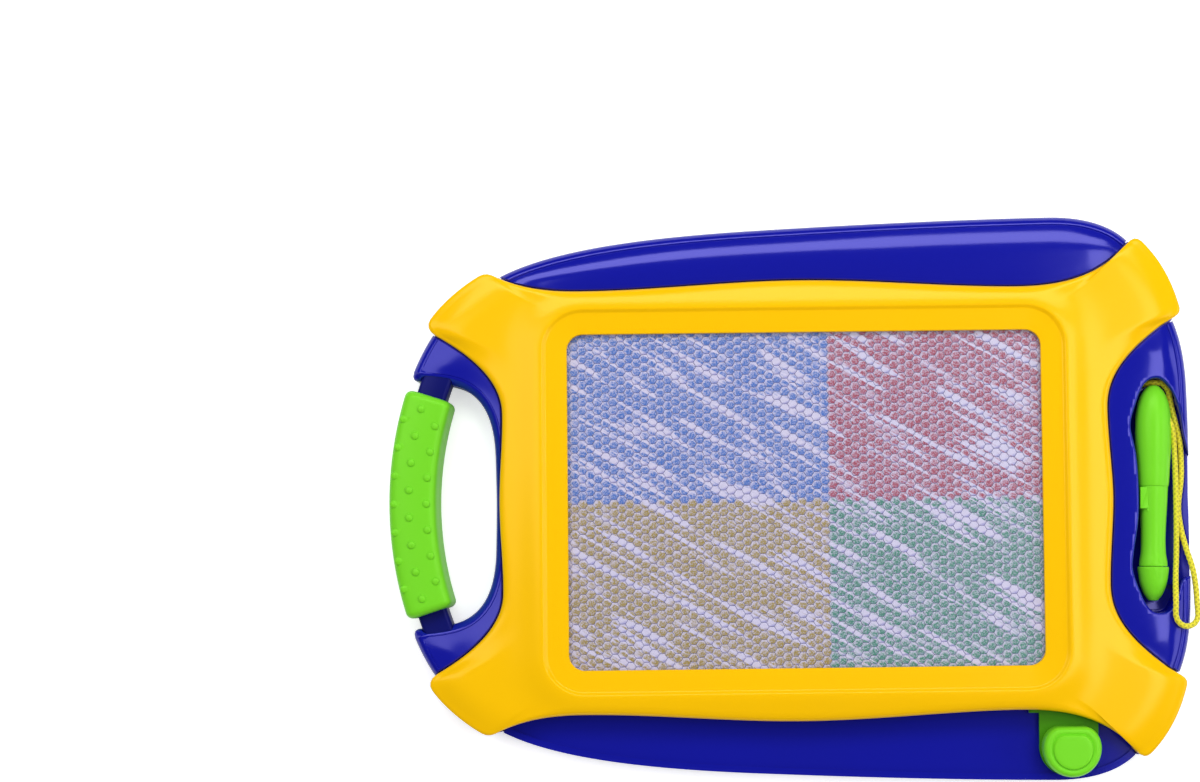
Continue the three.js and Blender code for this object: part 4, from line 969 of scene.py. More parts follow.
handle_bar = bar_solid(0, 0)
handle_bar.name = "bar"
# the bar's finish carries painted shade
dress(settle(handle_bar), SHADED_BLUE)
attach(handle_bar, "board")
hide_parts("handle_bar")
print("bar faces", len(handle_bar.data.polygons))

# %% [markdown]
# ### The grip
# The two halves meet in a fine seam. Their section is nearly square with a soft outer edge, and at
# the ends it shrinks along a quarter circle, which rounds them over without a bevel. The bumps are
# flattened spheres joined to the grip, in rows of seven, eight and seven.

# %% Section of the grip
GRIP_HALF, GRIP_LOW, GRIP_HIGH, END_ROUND = 11.25, 2, 25.3, 3.2
GRIP_MIDDLE, SEAM = (GRIP_LOW + GRIP_HIGH) / 2, 0.15
BUMP_ROWS = ((0.73, 7, 0.93), (0.11, 8, 1), (-0.61, 7, 0.965))
BUMP_RADIUS, BUMP_FLATNESS, BUMP_STEP = 1.9, 0.45, 4.405


def grip_section(facing):
    """Half of the grip's section: flat top, rounded outer edge, crisper inner edge."""
    rise = (GRIP_HIGH - GRIP_MIDDLE - SEAM) * facing
    base = GRIP_MIDDLE + SEAM * facing
    shares = (
        (1, 0), (1, 0.3), (0.995, 0.5), (0.975, 0.65), (0.93, 0.77), (0.86, 0.86), (0.76, 0.925),
        (0.62, 0.965), (0.4, 0.99), (0.1, 1.0), (-0.25, 0.995), (-0.55, 0.975), (-0.72, 0.95),
        (-0.84, 0.91), (-0.92, 0.84), (-0.965, 0.74), (-0.99, 0.58), (-1, 0.35), (-1, 0),
    )
    return [(GRIP_HALF * x, base + rise * z) for x, z in shares]


def rounded_end():
    """Angles and scales of the rings that round the grip's end, from the tip inwards."""
    turns = [math.pi / 12 * step for step in range(7)]
    ends = [(
        GRIP_ANGLE - math.degrees(END_ROUND * (1 - math.sin(turn)) / HANDLE_RADIUS),
        1 - END_ROUND * (1 - math.cos(turn)) / GRIP_HALF,
    ) for turn in turns]
    return sorted(ends, reverse=True)


def rubber_bump(place):
    """A flattened sphere, half sunk in the grip."""
    bpy.ops.object.select_all(action="DESELECT")
    bpy.ops.mesh.primitive_uv_sphere_add(
        segments=20, ring_count=12, radius=BUMP_RADIUS * MM, location=Vector(place) * MM)
    bump = bpy.context.object
    bump.scale.z = BUMP_FLATNESS
    bpy.ops.object.transform_apply(location=True, rotation=True, scale=True)
    return bump


print("grip section points", len(grip_section(1)), "bumps", sum(count for _, count, _ in BUMP_ROWS))

# %% [markdown]
# ### Closing the grip round the bar
# Front and rear halves are the same but for the way they face. A mirrored copy would do for the rear,
# but a mirror turns faces inside out and leaves a scale to apply. So one function makes each half
# in its own place, and the bar's own shape is cut out of both.

# %% Grip halves with their bumps
def grip_half(name, facing):
    """One half of the grip: the swept section, its bumps and the hole for the bar."""
    ends = rounded_end()
    inner_angle = GRIP_ANGLE - math.degrees(1.25 * END_ROUND / HANDLE_RADIUS)
    angles = [-a for a, _ in ends] + even(inner_angle, 40) + [a for a, _ in reversed(ends)]
    scales = [s for _, s in ends] + [1] * 41 + [s for _, s in reversed(ends)]
    grip = handle_sweep(name, grip_section(facing), angles, scales, GRIP_MIDDLE)
    for outward, count, share in BUMP_ROWS:
        z = GRIP_MIDDLE + facing * share * (GRIP_HIGH - GRIP_MIDDLE)
        for number in range(count):
            angle = (number - (count - 1) / 2) * BUMP_STEP
            add(grip, rubber_bump(on_handle(angle, outward * GRIP_HALF, z)))
    cut(grip, bar_solid(SOCKET_GAP, 0))
    dress(settle(grip, 40), GREEN)
    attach(grip, "board")
    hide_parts(name)
    return grip


for name, facing in (("grip_front", 1), ("grip_rear", -1)):
    grip = grip_half(name, facing)
    grip.name = name.replace("grip", "handle_grip")
    print(grip.name, len(grip.data.polygons))

# %% [markdown]
# ## The pen
# The pen is turned work: a cap, a waisted barrel, a nose and a small steel magnet in its tip. Each is
# a profile spun once round the pen's axis, and then laid in the pocket, which is a little askew. The
# profiles are drawn with few points and rounded, as a hand would draw a smooth line through them.

# %% Turning a profile
PEN_X, PEN_Y, PEN_Z, PEN_TURN = 171.9, 1.4, 13, math.radians(-1.11)
PEN_PLACE = Matrix.Translation(Vector((PEN_X, PEN_Y, PEN_Z)) * MM) @ Matrix.Rotation(PEN_TURN, 4, "Z")


def through(points, steps=5, sharp=()):
    """A smooth line through points, with corners kept where asked."""
    result = []
    for number in range(len(points) - 1):
        p1, p2 = Vector(points[number]), Vector(points[number + 1])
        p0 = Vector(points[number - 1]) if number and number not in sharp else p1
        last = number + 2 < len(points) and number + 1 not in sharp
        p3 = Vector(points[number + 2]) if last else p2
        for step in range(steps):
            t = step / steps
            bend = (2 * p0 - 5 * p1 + 4 * p2 - p3) * t * t
            twist = (3 * p1 - p0 - 3 * p2 + p3) * t * t * t
            result.append(0.5 * (2 * p1 + (p2 - p0) * t + bend + twist))
    return result + [Vector(points[-1])]


def turned(name, profile, place=PEN_PLACE, sides=64):
    """Spins a profile of (radius, height along Y) pairs round the Y axis and lays it in place."""
    bpy.ops.object.select_all(action="DESELECT")
    bpy.ops.mesh.primitive_circle_add(vertices=len(profile), radius=MM)
    piece = bpy.context.object
    piece.name = name
    put(piece, 0, [(r, y, 0) for r, y in profile])
    editing(piece, "EDGE")
    done_editing()
    closing = next(e for e in piece.data.edges if set(e.vertices) == {0, len(profile) - 1})
    closing.select = True
    bpy.ops.object.mode_set(mode="EDIT")
    bpy.ops.mesh.delete(type="EDGE")
    bpy.ops.mesh.select_all(action="SELECT")
    bpy.ops.mesh.spin(steps=sides, angle=2 * math.pi, center=(0, 0, 0), axis=(0, 1, 0))
    done_editing()
    settle(piece, 35)
    piece.data.transform(place)
    return piece


def pen_piece(name, node, profile):
    """A turned part of the pen in its green plastic."""
    piece = dress(turned(name, profile), GREEN)
    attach(piece, "pen")
    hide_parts(node)
    return piece


print("pen lies", round(-math.degrees(PEN_TURN), 2), "degrees askew")

# %% [markdown]
# ### The pen's parts
# Each profile runs from the axis out and back to the axis, as pairs of radius and height. The corners
# listed as sharp are the shoulders where the parts push into one another. A small clip stands on the
# side of the barrel. It is the only part that isn't round, so it is a bevelled block.

# %% Pen pieces
cap_profile = through([
    (0, 18), (5.3, 18), (5.3, 4.6), (6.9, 4.6), (7.25, 5.0), (7.6, 9), (7.9, 15), (8.45, 25),
    (8.55, 33), (8.2, 39), (7.2, 44.5), (5.4, 49), (3, 51.9), (1.5, 52.6), (0, 52.8),
], sharp=(1, 2, 3))
barrel_profile = through([
    (0, -26.5), (4.8, -26.5), (4.8, -33.2), (6.6, -33.2), (6.7, -32.6), (6.6, -31), (6.0, -27),
    (5.8, -20.8), (6.1, -12), (6.6, -3), (6.9, 3.9), (6.8, 4.3), (5.0, 4.3), (5.0, 17.5), (0, 17.5),
], sharp=(1, 2, 3, 11, 12, 13))
nose_profile = through([
    (0, -41), (1.55, -41), (1.55, -49.4), (2.2, -49.3), (4.4, -46.5), (6.2, -42), (7.1, -37),
    (7.35, -34.2), (7.2, -33.5), (4.5, -33.5), (4.5, -27), (0, -27),
], sharp=(1, 2, 3, 8, 9, 10))
for profile in (cap_profile, barrel_profile, nose_profile):
    for p in profile:
        p.y -= PEN_Y
pen_cap = pen_piece("pen_top", "pen_cap", cap_profile)
pen_barrel = pen_piece("pen_body", "pen_barrel", barrel_profile)
pen_nose = pen_piece("pen_point", "pen_nose", nose_profile)
clip = block((-6.98, -3.38), (-7.5, 2.6), (0, 5.7))
add(clip, block((-3.9, -2.9), (-8.7, -6.1), (4.4, 5.7)))
apply_modifier(clip, "BEVEL", width=0.5 * MM, segments=3, limit_method="ANGLE", angle_limit=math.radians(40))
clip.data.transform(PEN_PLACE)
settle(add(pen_barrel, clip), 35)
dress(pen_barrel, GREEN)
print("pen", [len(p.data.polygons) for p in (pen_cap, pen_barrel, pen_nose)])

# %% [markdown]
# ## The cord
# The pen hangs on a thin yellow braid. It comes up out of the hole at the end of the pocket, runs
# down beside the pen, makes a loop over the board's edge and comes back to the cap. The route is a
# row of points, with X counted from the board's right edge, and a smooth line goes through them.

# %% Cord route
CORD_POINTS = (
    (-20.4, 53.5, 5.1), (-20.26, 53.5, 6.7), (-19.57, 53.6, 8.5), (-18.2, 53.8, 10.15),
    (-16.3, 54, 11.25), (-14.15, 54.1, 11.65), (-12, 53.7, 11.6), (-10.5, 52.6, 11.4), (-9.3, 51.2, 11.2),
    (-8.5, 49.5, 10.9), (-7.9, 46.6, 10.6), (-7, 41.5, 10.6), (-5.6, 34.5, 11.8), (-3.9, 25.5, 12.3),
    (-3.3, 18, 11.3), (-3.4, 8, 10.9), (-4.8, -5, 10.3), (-3.8, -15.5, 10.7), (-1.7, -25, 11.8),
    (0.8, -34, 13.1), (2.2, -43, 13.15), (2.6, -50, 13.4), (2.6, -55.6, 15), (1.8, -58.7, 16.3),
    (-0.3, -60.8, 17.6), (-3.2, -61.6, 18.9), (-6.1, -60.8, 20.1), (-8.2, -58.7, 20.9),
    (-9.05, -55.6, 21.3), (-8.9, -51.5, 21.4), (-8.6, -47.5, 20), (-8, -42.5, 16.8), (-7.2, -36, 13.4),
    (-6.5, -28, 11.8), (-6.3, -14, 12.5), (-6.3, 3, 12.8), (-6.7, 20, 13.4), (-7.8, 31, 15.4),
    (-10.1, 37, 16), (-12.6, 41.5, 16.3),
)
CORD_RADIUS, CORD_STEP, PLAIT, STRANDS = 1.4, 0.42, 2.4, 3
cord_route = through([(HALF_LENGTH + x, y, z) for x, y, z in CORD_POINTS], 24)


def evenly(route, step):
    """Points at equal distances along a route."""
    result, left = [route[0]], step
    for a, b in zip(route, route[1:]):
        length = (b - a).length
        done = 0
        while length - done >= left:
            done += left
            result.append(a.lerp(b, done / length))
            left = step
        left -= length - done
    return result + [route[-1]]


def braid_height(turn, along):
    """How high the strands stand: two families of strands wind opposite ways and take turns on top."""
    first = math.cos(2 * math.pi * (STRANDS * turn + along / PLAIT))
    second = math.cos(2 * math.pi * (STRANDS * turn - along / PLAIT))
    return max(first, second)


cord_rows = evenly(cord_route, CORD_STEP)
print("rows along the cord", len(cord_rows))

# %% [markdown]
# ### The braid
# The braid is a flat sheet of small faces rolled into a tube along the route. A bevelled curve would
# be quicker, but its surface can't be raised strand by strand. Here it rises where a strand lies on
# top, so the plait is real relief, and the sheet's own coordinates carry the same pattern in colour.

# %% Rolling the braid
AROUND, VALLEY, RELIEF = 24, 0.93, 0.07
bpy.ops.object.select_all(action="DESELECT")
bpy.ops.mesh.primitive_grid_add(x_subdivisions=AROUND, y_subdivisions=len(cord_rows) - 1, size=1)
braid = bpy.context.object
braid.name = "pen_cord"
side = Vector((0, 0, 1)).orthogonal()
frames = []
for number, point in enumerate(cord_rows):
    along = (cord_rows[min(number + 1, len(cord_rows) - 1)] - cord_rows[max(number - 1, 0)]).normalized()
    side = (side - along * side.dot(along)).normalized()
    frames.append((point, side, along.cross(side)))
for number, vertex in enumerate(braid.data.vertices):
    row, column = divmod(number, AROUND + 1)
    point, side, up = frames[row]
    turn = (column % AROUND) / AROUND
    radius = CORD_RADIUS * (VALLEY + RELIEF * braid_height(turn, row * CORD_STEP))
    angle = 2 * math.pi * turn
    vertex.co = (point + (side * math.cos(angle) + up * math.sin(angle)) * radius) * MM
editing(braid)
bpy.ops.mesh.select_all(action="SELECT")
bpy.ops.mesh.remove_doubles(threshold=0.001 * MM)
bpy.ops.mesh.select_all(action="DESELECT")
bpy.ops.mesh.select_non_manifold()
bpy.ops.mesh.fill_holes(sides=AROUND)
done_editing()
settle(braid, 60)
print("braid faces", len(braid.data.polygons))

# %% [markdown]
# ### The braid's colour and its two ends
# The strands are yellow, with painted shade in the gaps between them, and the same two waves that
# raise them also colour them. The cord is limp: one end stays with the board and the other follows
# the pen.

# %% Colour of the braid, and its ends
def braided(name, colour, other):
    """Yellow strands with painted shade in the gaps between them, read from the sheet's own coordinates."""
    material = material_named(name)
    place = add_node(material, "TexCoord")
    stretch = {"Vector": place.outputs["UV"], "Scale": (STRANDS, len(cord_rows) * CORD_STEP / PLAIT, 1)}
    sheet = add_node(material, "Mapping", stretch).outputs["Vector"]
    parts = add_node(material, "SeparateXYZ", {"Vector": sheet})
    heights = []
    for operation in ("ADD", "SUBTRACT"):
        lean = worked(material, operation, parts.outputs[:2])
        turns = worked(material, "MULTIPLY", (lean, 2 * math.pi))
        heights.append(worked(material, "COSINE", (turns,)))
    top = worked(material, "MAXIMUM", heights)
    fibres = noise(material, place.outputs["Object"], 2600)
    bump = add_node(material, "Bump", {"Strength": 0.4, "Distance": 0.08 * MM, "Height": fibres})
    return surface(material, {
        "Base Color": tinted(material, ranged(material, top, 0, 1, -0.3, 0.8), other, colour),
        "Roughness": 0.6,
        "Sheen Weight": 0.2,
        "Normal": bump.outputs["Normal"],
    })


# painted shade: the second colour darkens the gaps between the strands
dress(braid, braided("braid", (0.80, 0.72, 0.012), (0.50, 0.45, 0.012)))
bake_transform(braid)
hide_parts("cord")
print("cord hangs between", braid.name, "and the pen's cap")

# %% [markdown]
# ### The knot
# Behind the pocket's floor the cord ends in a knot that is too big for its hole. It is hidden, so a
# flattened ball, turned like the pen and mottled like fibres, stands for it.

# %% Knot behind the floor
KNOT_PLACE = Vector((168.7, 53.5, 3.6))
knot_profile = through([
    (0, -1.1), (1.1, -1.05), (1.7, -0.75), (2.0, 0), (1.7, 0.75), (1.1, 1.05), (0, 1.1),
], 4)
upright = Matrix.Translation(KNOT_PLACE * MM) @ Matrix.Rotation(math.pi / 2, 4, "X")
knot = turned("cord_end_knot", knot_profile, upright, 40)
dress(knot, matt("knot_braid", (0.74, 0.62, 0.02), (0.3, 0.24, 0.01), 1600, 0.7))
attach(knot, "board")
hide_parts("cord_knot")
print("knot faces", len(knot.data.polygons))

# %% [markdown]
# ## The eraser
# A green knob sticks up through the bottom channel. Its shape is a half circle closed by a flat side
# with round corners, drawn in ring by ring until it becomes a raised pad for the thumb. Every ring
# is the same outline at another scale, so the groove round the pad keeps an even width.

# %% Knob
KNOB_X, KNOB_Y, KNOB_RADIUS, KNOB_FLAT_Y = 130.4, -117.7, 13.7, -107.8
ARM_TOP, ARM_BOTTOM = 13.5, 11.1


def knob_line(scale, steps=28):
    """The knob's outline, shrunk about its own middle."""
    middle_y = (KNOB_FLAT_Y + KNOB_Y - KNOB_RADIUS) / 2
    points = []
    for step in range(steps + 1):
        angle = math.pi * (1 + step / steps)
        points.append((KNOB_RADIUS * math.cos(angle), KNOB_Y + KNOB_RADIUS * math.sin(angle)))
    rise, corner = KNOB_FLAT_Y - KNOB_Y, 0.6 * KNOB_RADIUS
    half = steps // 2
    for side in (1, -1):
        for step in range(1, half + 1):
            angle = (step if side > 0 else half + 1 - step) / (half + 1) * math.pi / 2
            x = side * (KNOB_RADIUS - corner * (1 - math.cos(angle)))
            points.append((x, KNOB_Y + rise * math.sin(angle)))
    return [Vector((KNOB_X + scale * x, middle_y + scale * (y - middle_y))) for x, y in points]


knob_profile = (
    (1.0, 13.8), (1.0, 20.9), (0.996, 21.6), (0.98, 22.5), (0.955, 23.2), (0.92, 23.8),
    (0.885, 24.15), (0.85, 24.3), (0.80, 24.36), (0.75, 24.25), (0.72, 24.0), (0.7, 23.95),
    (0.685, 24.2), (0.67, 24.8), (0.65, 25.1), (0.62, 25.2), (0.5, 25.2),
)
knob = loft("knob", [level(knob_line(scale), z) for scale, z in knob_profile])
cut(knob, prism(knob_line(0.69), 0, 20.4))
dress(settle(knob, 40), GREEN)
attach(knob, "eraser")
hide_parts("eraser_knob")
print("knob faces", len(knob.data.polygons))

# %% [markdown]
# ### The eraser's arm
# Under the knob a flat arm runs beneath the bezel to the bar that carries the wiping magnet. It is
# made of plain boxes and a tongue in the knob's own outline, and one small bevel softens all of it.
# It lies in shade, and that shade is painted into its colour: its green is a darker mixture of the knob's.

# %% Arm and bar
ARM_Z, ARM_END_X = (ARM_BOTTOM, ARM_TOP), 143.8
BAR_X, BAR_Y, BAR_BOTTOM = (120, 132), (-86, 86), 8.1
MAGNET_X, MAGNET_Y, MAGNET_BED = (121.2, 130.8), (-78.2, 78.2), 12.5
PLUG_SHARE, PLUG_TOP = 0.66, 20
arm = block((116, ARM_END_X), (-117.7, BAR_Y[0]), ARM_Z)
foot_line = [p - Vector((0.8, 0)) for p in knob_line(1)]
wide_part = block((111.3, ARM_END_X), (-101.6, -81.6), ARM_Z)
add(arm, wide_part, prism(foot_line, *ARM_Z))
add(arm, prism(knob_line(PLUG_SHARE), ARM_BOTTOM, PLUG_TOP), block(BAR_X, BAR_Y, (BAR_BOTTOM, ARM_TOP)))
cut(arm, block(MAGNET_X, MAGNET_Y, (MAGNET_BED, PLUG_TOP)))
settle(arm)
apply_modifier(arm, "BEVEL", width=0.35 * MM, segments=2, limit_method="ANGLE", angle_limit=math.radians(40))
arm.name = "eraser_arm"
# the arm's finish carries painted shade
dress(settle(arm, 40), SHADED_GREEN)
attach(arm, "eraser")
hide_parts("eraser_carriage")
print("arm faces", len(arm.data.polygons))

# %% [markdown]
# ## The rear shell
# The back of the housing is a shallow tray whose bottom edge is rolled in so that it doesn't catch.
# Screw posts stand in it, each with a counterbore that hides the head from below.

# %% Rear tray
SCREW_SHARES = (
    (-0.4, 0.84), (0.36, 0.87), (0.91, 0.53), (0.91, -0.53), (-0.87, 0.548), (-0.87, -0.548), (-0.4, -0.84),
    (0.36, -0.87), (0.9, 0.77), (0.9, -0.77), (-0.81, 0.7), (-0.81, -0.7),
)
TRAY_WALL, TRAY_FLOOR, POST_LOW, TRAY_TOP = 2.4, 2.2, 1.1, 6.7
POST_RADIUS, HEAD_RADIUS, HEAD_DEPTH, HOLE_RADIUS = 5.8, 2.9, 4.4, 1.55
RUNNER_X, RUNNERS_Y, RUNNER_TOP = (-124.8, 138.8), (-84, 81.6), 7.8
screw_places = [(x * HALF_LENGTH, y * HALF_WIDTH) for x, y in SCREW_SHARES]
tray_profile = ((2.4, 0), (1.6, 0.12), (0.9, 0.5), (0.35, 1.2), (0, 2.6), (0, TRAY_TOP))
tray = loft("tray", [level(inset(shell_line, back), z) for back, z in tray_profile])
cut(tray, prism(inset(shell_line, TRAY_WALL), TRAY_FLOOR, 10))
posts = []
for x, y in screw_places:
    pillar = post(x, y, POST_RADIUS, POST_LOW, TRAY_TOP)
    posts.append(common(pillar, prism(inset(shell_line, 0.1), 0, 12)))
add(tray, *posts)
for y in RUNNERS_Y:
    add(tray, block(RUNNER_X, (y, y + 2.4), (POST_LOW, RUNNER_TOP)))
cut(tray, bar_solid(SOCKET_GAP, SOCKET_GAP))
for x, y in screw_places:
    cut(tray, post(x, y, HEAD_RADIUS, -1, HEAD_DEPTH), post(x, y, HOLE_RADIUS, -1, 10))
tray.name = "back_tray"
dress(settle(tray, 32), BLUE)
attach(tray, "board")
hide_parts("rear_shell")
print("tray", len(tray.data.polygons))

# %% [markdown]
# ## The drawing screen
# Under a clear film lies a honeycomb of cells about four millimetres across, filled with white
# liquid and coloured magnetic powder. Two neighbouring cells are modelled with their rounded edges,
# and an array modifier copies the pair in rows and columns. Every copy carries the same small UV
# map, so the finish can tell where in its own cell a point lies.

# %% Honeycomb cells
CELL_X, CELL_Y = 3.68, 4.03
COLUMNS, ROWS = 62, 41
CELL_TOP, CELL_EDGE, CELL_BED, BED_BOTTOM = 19.2, 19.05, 18.6, 17.6
SCREEN_HALF, SCREEN_CORNER = WINDOW_HALF + Vector((6, 6)), 3.75
cell_radius = CELL_Y / math.sqrt(3)


def hexagon(scale, z, x, y):
    """A six-sided ring, stretched a little across to suit the spacing of the columns."""
    stretch = CELL_X / (1.5 * cell_radius)
    across = scale * stretch * cell_radius
    angles = [math.radians(60 * corner) for corner in range(6)]
    return [(x + across * math.cos(a), y + scale * cell_radius * math.sin(a), z) for a in angles]


start = Vector((WINDOW_X - (COLUMNS - 1) / 2 * CELL_X, -(ROWS - 0.5) / 2 * CELL_Y))
cell_profile = ((0.95, CELL_BED), (0.95, CELL_EDGE), (0.86, CELL_TOP))
cells = []
for x, y in ((0, 0), (CELL_X, CELL_Y / 2)):
    rings = [hexagon(scale, z, start.x + x, start.y + y) for scale, z in cell_profile]
    cell = loft("cell", rings)
    middle = Vector((start.x + x, start.y + y)) * MM
    local = cell.data.uv_layers.new(name="cell")
    local.active_render = True
    for loop in cell.data.loops:
        offset = cell.data.vertices[loop.vertex_index].co.xy - middle
        local.data[loop.index].uv = offset / (cell_radius * MM)
    cells.append(cell)
bpy.ops.object.select_all(action="DESELECT")
for cell in cells:
    cell.select_set(True)
bpy.context.view_layer.objects.active = cells[0]
bpy.ops.object.join()
comb = bpy.context.object
for count, offset in ((COLUMNS // 2, (2 * CELL_X * MM, 0, 0)), (ROWS, (0, CELL_Y * MM, 0))):
    apply_modifier(
        comb, "ARRAY", count=count, use_relative_offset=False,
        use_constant_offset=True, constant_offset_displace=offset)
bed = prism(rounded_rectangle(WINDOW_X, SCREEN_HALF, SCREEN_CORNER), BED_BOTTOM, CELL_BED)
print("cells", COLUMNS * ROWS, "faces", len(comb.data.polygons))

# %% [markdown]
# ### Scribbled powder
# The pen draws coloured powder up into white liquid, one colour in each quarter of the screen. The
# strokes are a noise that is stretched far along one slant. Inside each cell the powder lies towards
# the lower side and breaks into grains, and the upper side is left white as a painted highlight of the
# cell's lit top. The liquid takes painted shade towards the lower rim of each cell. The powder's colour
# changes only between cells, never inside one. That is why the finish reads the cell's own small map
# as well as the place on the screen.

# %% Powder and liquid
SEAM_X, SEAM_Y, SEAM_HALF = 19, 0, 0.1
POWDERS = (((0.0, 0.10, 0.46), (0.30, 0.004, 0.05)), ((0.28, 0.19, 0.004), (0.0, 0.185, 0.12)))
# painted shade: the liquid turns to a darker blue towards the shaded lower side of each cell
LIQUID, PAINTED_RIM_SHADE = (0.56, 0.53, 0.72, 1), (0.22, 0.21, 0.52, 1)
# the heap keeps the powder to the lower side of each cell, and the white left on the upper side is a painted
# highlight
HEAP_PLACE, SHADED_SIDE = (0.2, -0.34, 0), (0.35, -1, 0)


def cell_middle(material, local, point):
    """The middle of the cell that a point lies in, so that a whole cell can share one value."""
    back = (-cell_radius * MM, -cell_radius * MM, 0)
    return worked(material, "MULTIPLY_ADD", (local, back, point), "VectorMath")


def quarter_colour(material, middle):
    """The powder's colour: two on the left and two on the right of a seam."""
    centre = add_node(material, "SeparateXYZ", {"Vector": middle})
    right, top = (
        ranged(material, centre.outputs[axis], 0, 1, (seam - SEAM_HALF) * MM, (seam + SEAM_HALF) * MM)
        for axis, seam in (("X", SEAM_X), ("Y", SEAM_Y))
    )
    upper, lower = (tinted(material, right, *pair) for pair in POWDERS)
    return mixed(material, top, lower, upper)


def heap_and_painted_highlight(material, local, point):
    """Powder towards the lower side of its cell, with a ragged edge; the upper side stays white as a painted
    highlight of the cell's lit top.
    """
    away = worked(material, "DISTANCE", (local, HEAP_PLACE), "VectorMath")
    grain = noise(material, point, 850, 2)
    ragged = worked(material, "MULTIPLY_ADD", (grain, -1.5, away))
    return ranged(material, ragged, 1, 0.15, -0.2, 0.45)


def liquid_with_painted_shade(material, local):
    """White liquid, with painted shade in a bluer tone towards the lower rim of each cell."""
    low = worked(material, "DOT_PRODUCT", (local, SHADED_SIDE), "VectorMath")
    return mixed(material, ranged(material, low, 0, 0.85, 0.3, 0.82), LIQUID, PAINTED_RIM_SHADE)


print("powder colours", sum(len(pair) for pair in POWDERS))

# %% [markdown]
# ### Strokes over the cells
# Five noises are multiplied into one amount of powder: broad strokes, streaks inside them, patches
# that change from cell to cell, the heap in each cell, which leaves a painted highlight on its upper
# side, and fine grit. That amount mixes the powder's colour into the liquid's. Under the cells a bed in
# another finish shows as their walls.

# %% Powder and walls
STROKE_SLANT, STROKE_SIZE = math.radians(-31), (0.048, 0.0046, 1)


def scribbled(name):
    """White liquid with coloured powder drawn up in slanting strokes."""
    material = material_named(name)
    place = add_node(material, "TexCoord")
    local, point = place.outputs["UV"], place.outputs["Object"]
    middle = cell_middle(material, local, point)
    slant = add_node(material, "Mapping", {
        "Vector": point, "Rotation": (0, 0, STROKE_SLANT), "Scale": STROKE_SIZE,
    }, vector_type="TEXTURE").outputs["Vector"]
    strokes = noise(material, slant, 1, 3)
    streaks = ranged(material, noise(material, slant, 3, 2), 0.5, 2.2, 0.36, 0.6)
    patches = ranged(material, noise(material, middle, 190, 1), 0.9, 1.6, 0.36, 0.56)
    grit = ranged(material, noise(material, point, 1400, 2), 0.5, 1.3, 0.38, 0.62)
    amount = ranged(material, strokes, 0, 1, 0.41, 0.51)
    for part in (streaks, patches, heap_and_painted_highlight(material, local, point), grit):
        amount = worked(material, "MULTIPLY", (amount, part), use_clamp=True)
    liquid, powder = liquid_with_painted_shade(material, local), quarter_colour(material, middle)
    return surface(material, {
        "Base Color": mixed(material, amount, liquid, powder),
        "Roughness": ranged(material, strokes, 0.3, 0.45),
    })


def cell_walls(name):
    """The thin bluish walls between the cells, seen as a bed under them."""
    material = material_named(name)
    place = add_node(material, "TexCoord").outputs["Object"]
    return surface(material, {
        "Base Color": tinted(material, noise(material, place, 300), (0.25, 0.23, 0.55), (0.36, 0.33, 0.66)),
        "Roughness": 0.5,
    })


dress(comb, scribbled("drawn_honeycomb"))
dress(bed, cell_walls("honeycomb_walls"))
comb.name, bed.name = "drawn_cells", "cell_walls"
for piece in (comb, bed):
    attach(piece, "board")
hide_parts("screen_honeycomb")
print("screen", comb.name, bed.name)

# %% [markdown]
# ### The film
# The real screen is covered by a clear film that takes a soft sheen. A glass shader would bend the
# cells below it and cost time, so the film is a thin plate that is nearly transparent instead, with
# a little haze, and it only adds its reflections.

# %% Cover film
FILM_BOTTOM, FILM_TOP = 19.5, 19.9


def film(name):
    """A clear film that takes a soft sheen and shows a little haze."""
    material = material_named(name)
    place = add_node(material, "TexCoord").outputs["Object"]
    haze = noise(material, place, 60)
    return surface(material, {
        "Base Color": (0.93, 0.94, 1, 1),
        "Alpha": ranged(material, haze, 0.02, 0.05),
        "Roughness": ranged(material, haze, 0.2, 0.3),
        "IOR": 1.4,
    })


sheet = prism(rounded_rectangle(WINDOW_X, SCREEN_HALF, SCREEN_CORNER), FILM_BOTTOM, FILM_TOP)
apply_modifier(sheet, "BEVEL", width=0.1 * MM, segments=2, limit_method="ANGLE")
sheet.name = "cover_film"
dress(sheet, film("clear_film"))
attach(sheet, "board")
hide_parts("screen_film")
print("film", round(FILM_TOP - FILM_BOTTOM, 2), "mm thick")

# %% [markdown]
# ## Pieces that keep the CAD shape
# The screen's backing, its frame, the magnet strip and the screws lie inside or underneath, and their
# plain shapes are already the real ones, so they only get their own finish.

# %% Steel, ferrite and backing
STEEL = metal("plated_steel", (0.56, 0.57, 0.60))
FERRITE = matt("ferrite", (0.02, 0.02, 0.022), (0.035, 0.034, 0.035), 800)
BACKING = matt("backing_film", (0.8, 0.8, 0.84), (0.72, 0.72, 0.78), 200, 0.5)
kept = {
    "screen_frame": (BLUE, "blue_plastic"),
    "screen_backing": (BACKING, "backing_film"),
    "eraser_magnet": (FERRITE, "ferrite_strip"),
    "pen_magnet": (STEEL, "steel"),
}
for name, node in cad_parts.items():
    if "screw" in name:
        kept[name] = (STEEL, "steel")
for name, (material, slot) in kept.items():
    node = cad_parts[name]
    dress(node, material)
print("kept", len(kept))

# %% [markdown]
# ## Floor and light
# The photograph is a plain product shot, with a white background and gentle shadows. The floor is
# white paper. A grey floor would show its own shading, so the camera sees it a little brighter than
# the light alone would make it, while the board is lit by the plain paper.

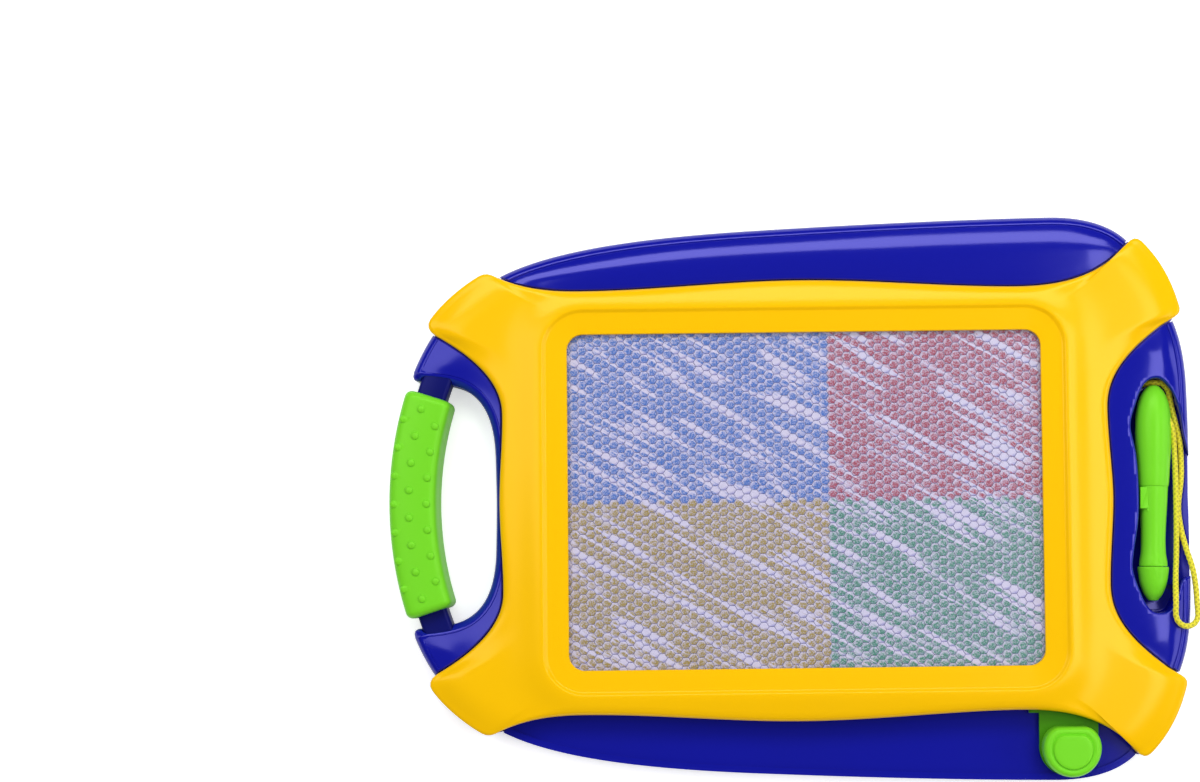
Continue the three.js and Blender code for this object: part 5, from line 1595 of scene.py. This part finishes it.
# %% Floor
bpy.ops.object.select_all(action="DESELECT")
bpy.ops.mesh.primitive_plane_add(size=8)
floor = bpy.context.object
floor.name = "floor"
paper = material_named("floor_paper")
seen = add_node(paper, "LightPath").outputs["Is Camera Ray"]
surface(paper, {
    "Base Color": (0.9, 0.9, 0.9, 1),
    "Roughness": 0.9,
    "Emission Color": (1, 1, 1, 1),
    "Emission Strength": ranged(paper, seen, 0, 0.5),
})
dress(floor, paper)
bpy.context.scene.view_settings.view_transform = "Standard"
print("floor", round(floor.dimensions.x, 1), "m wide")

# %% [markdown]
# ### The lamps
# An even white world would be mirrored all over the plastic and wash its colours out. So the world
# lights the board but hardly shows in reflections, and four wide lamps make the gleams: a long one
# on the top band, and smaller ones on the paws, the pen and the right edge.

# %% Lights
EVEN_LIGHT, MIRRORED_LIGHT = 0.47, 0.04
studio = bpy.data.worlds.new("studio")
bpy.context.scene.world = studio
studio.use_nodes = True
mirrored = add_node(studio, "LightPath").outputs["Is Glossy Ray"]
fill(studio, studio.node_tree.nodes["Background"], {
    "Color": (1, 1, 1, 1), "Strength": ranged(studio, mirrored, EVEN_LIGHT, MIRRORED_LIGHT),
})


def softbox(name, place, aim, size, power):
    """A wide soft lamp that looks at a point of the board."""
    lamp = bpy.data.objects.new(name, bpy.data.lights.new(name, "AREA"))
    bpy.context.scene.collection.objects.link(lamp)
    lamp.data.shape = "RECTANGLE"
    lamp.data.size, lamp.data.size_y = size
    lamp.data.energy = power
    lamp.location = place
    lamp.rotation_euler = (Vector(aim) - Vector(place)).to_track_quat("-Z", "Y").to_euler()
    return lamp


softbox("far_box", (0, 0.78, 1.0), (0, 0, 0), (1.5, 0.42), 8)
softbox("left_box", (-0.72, 0.25, 1.0), (0, 0, 0), (0.4, 0.8), 2.2)
softbox("right_box", (0.52, 0.04, 1.0), (0, 0, 0), (0.6, 0.38), 2.6)
softbox("side_box", (1.15, -0.1, 0.55), (0.17, 0, 0), (1.0, 0.45), 3)
print("lamps", len(bpy.data.lights))
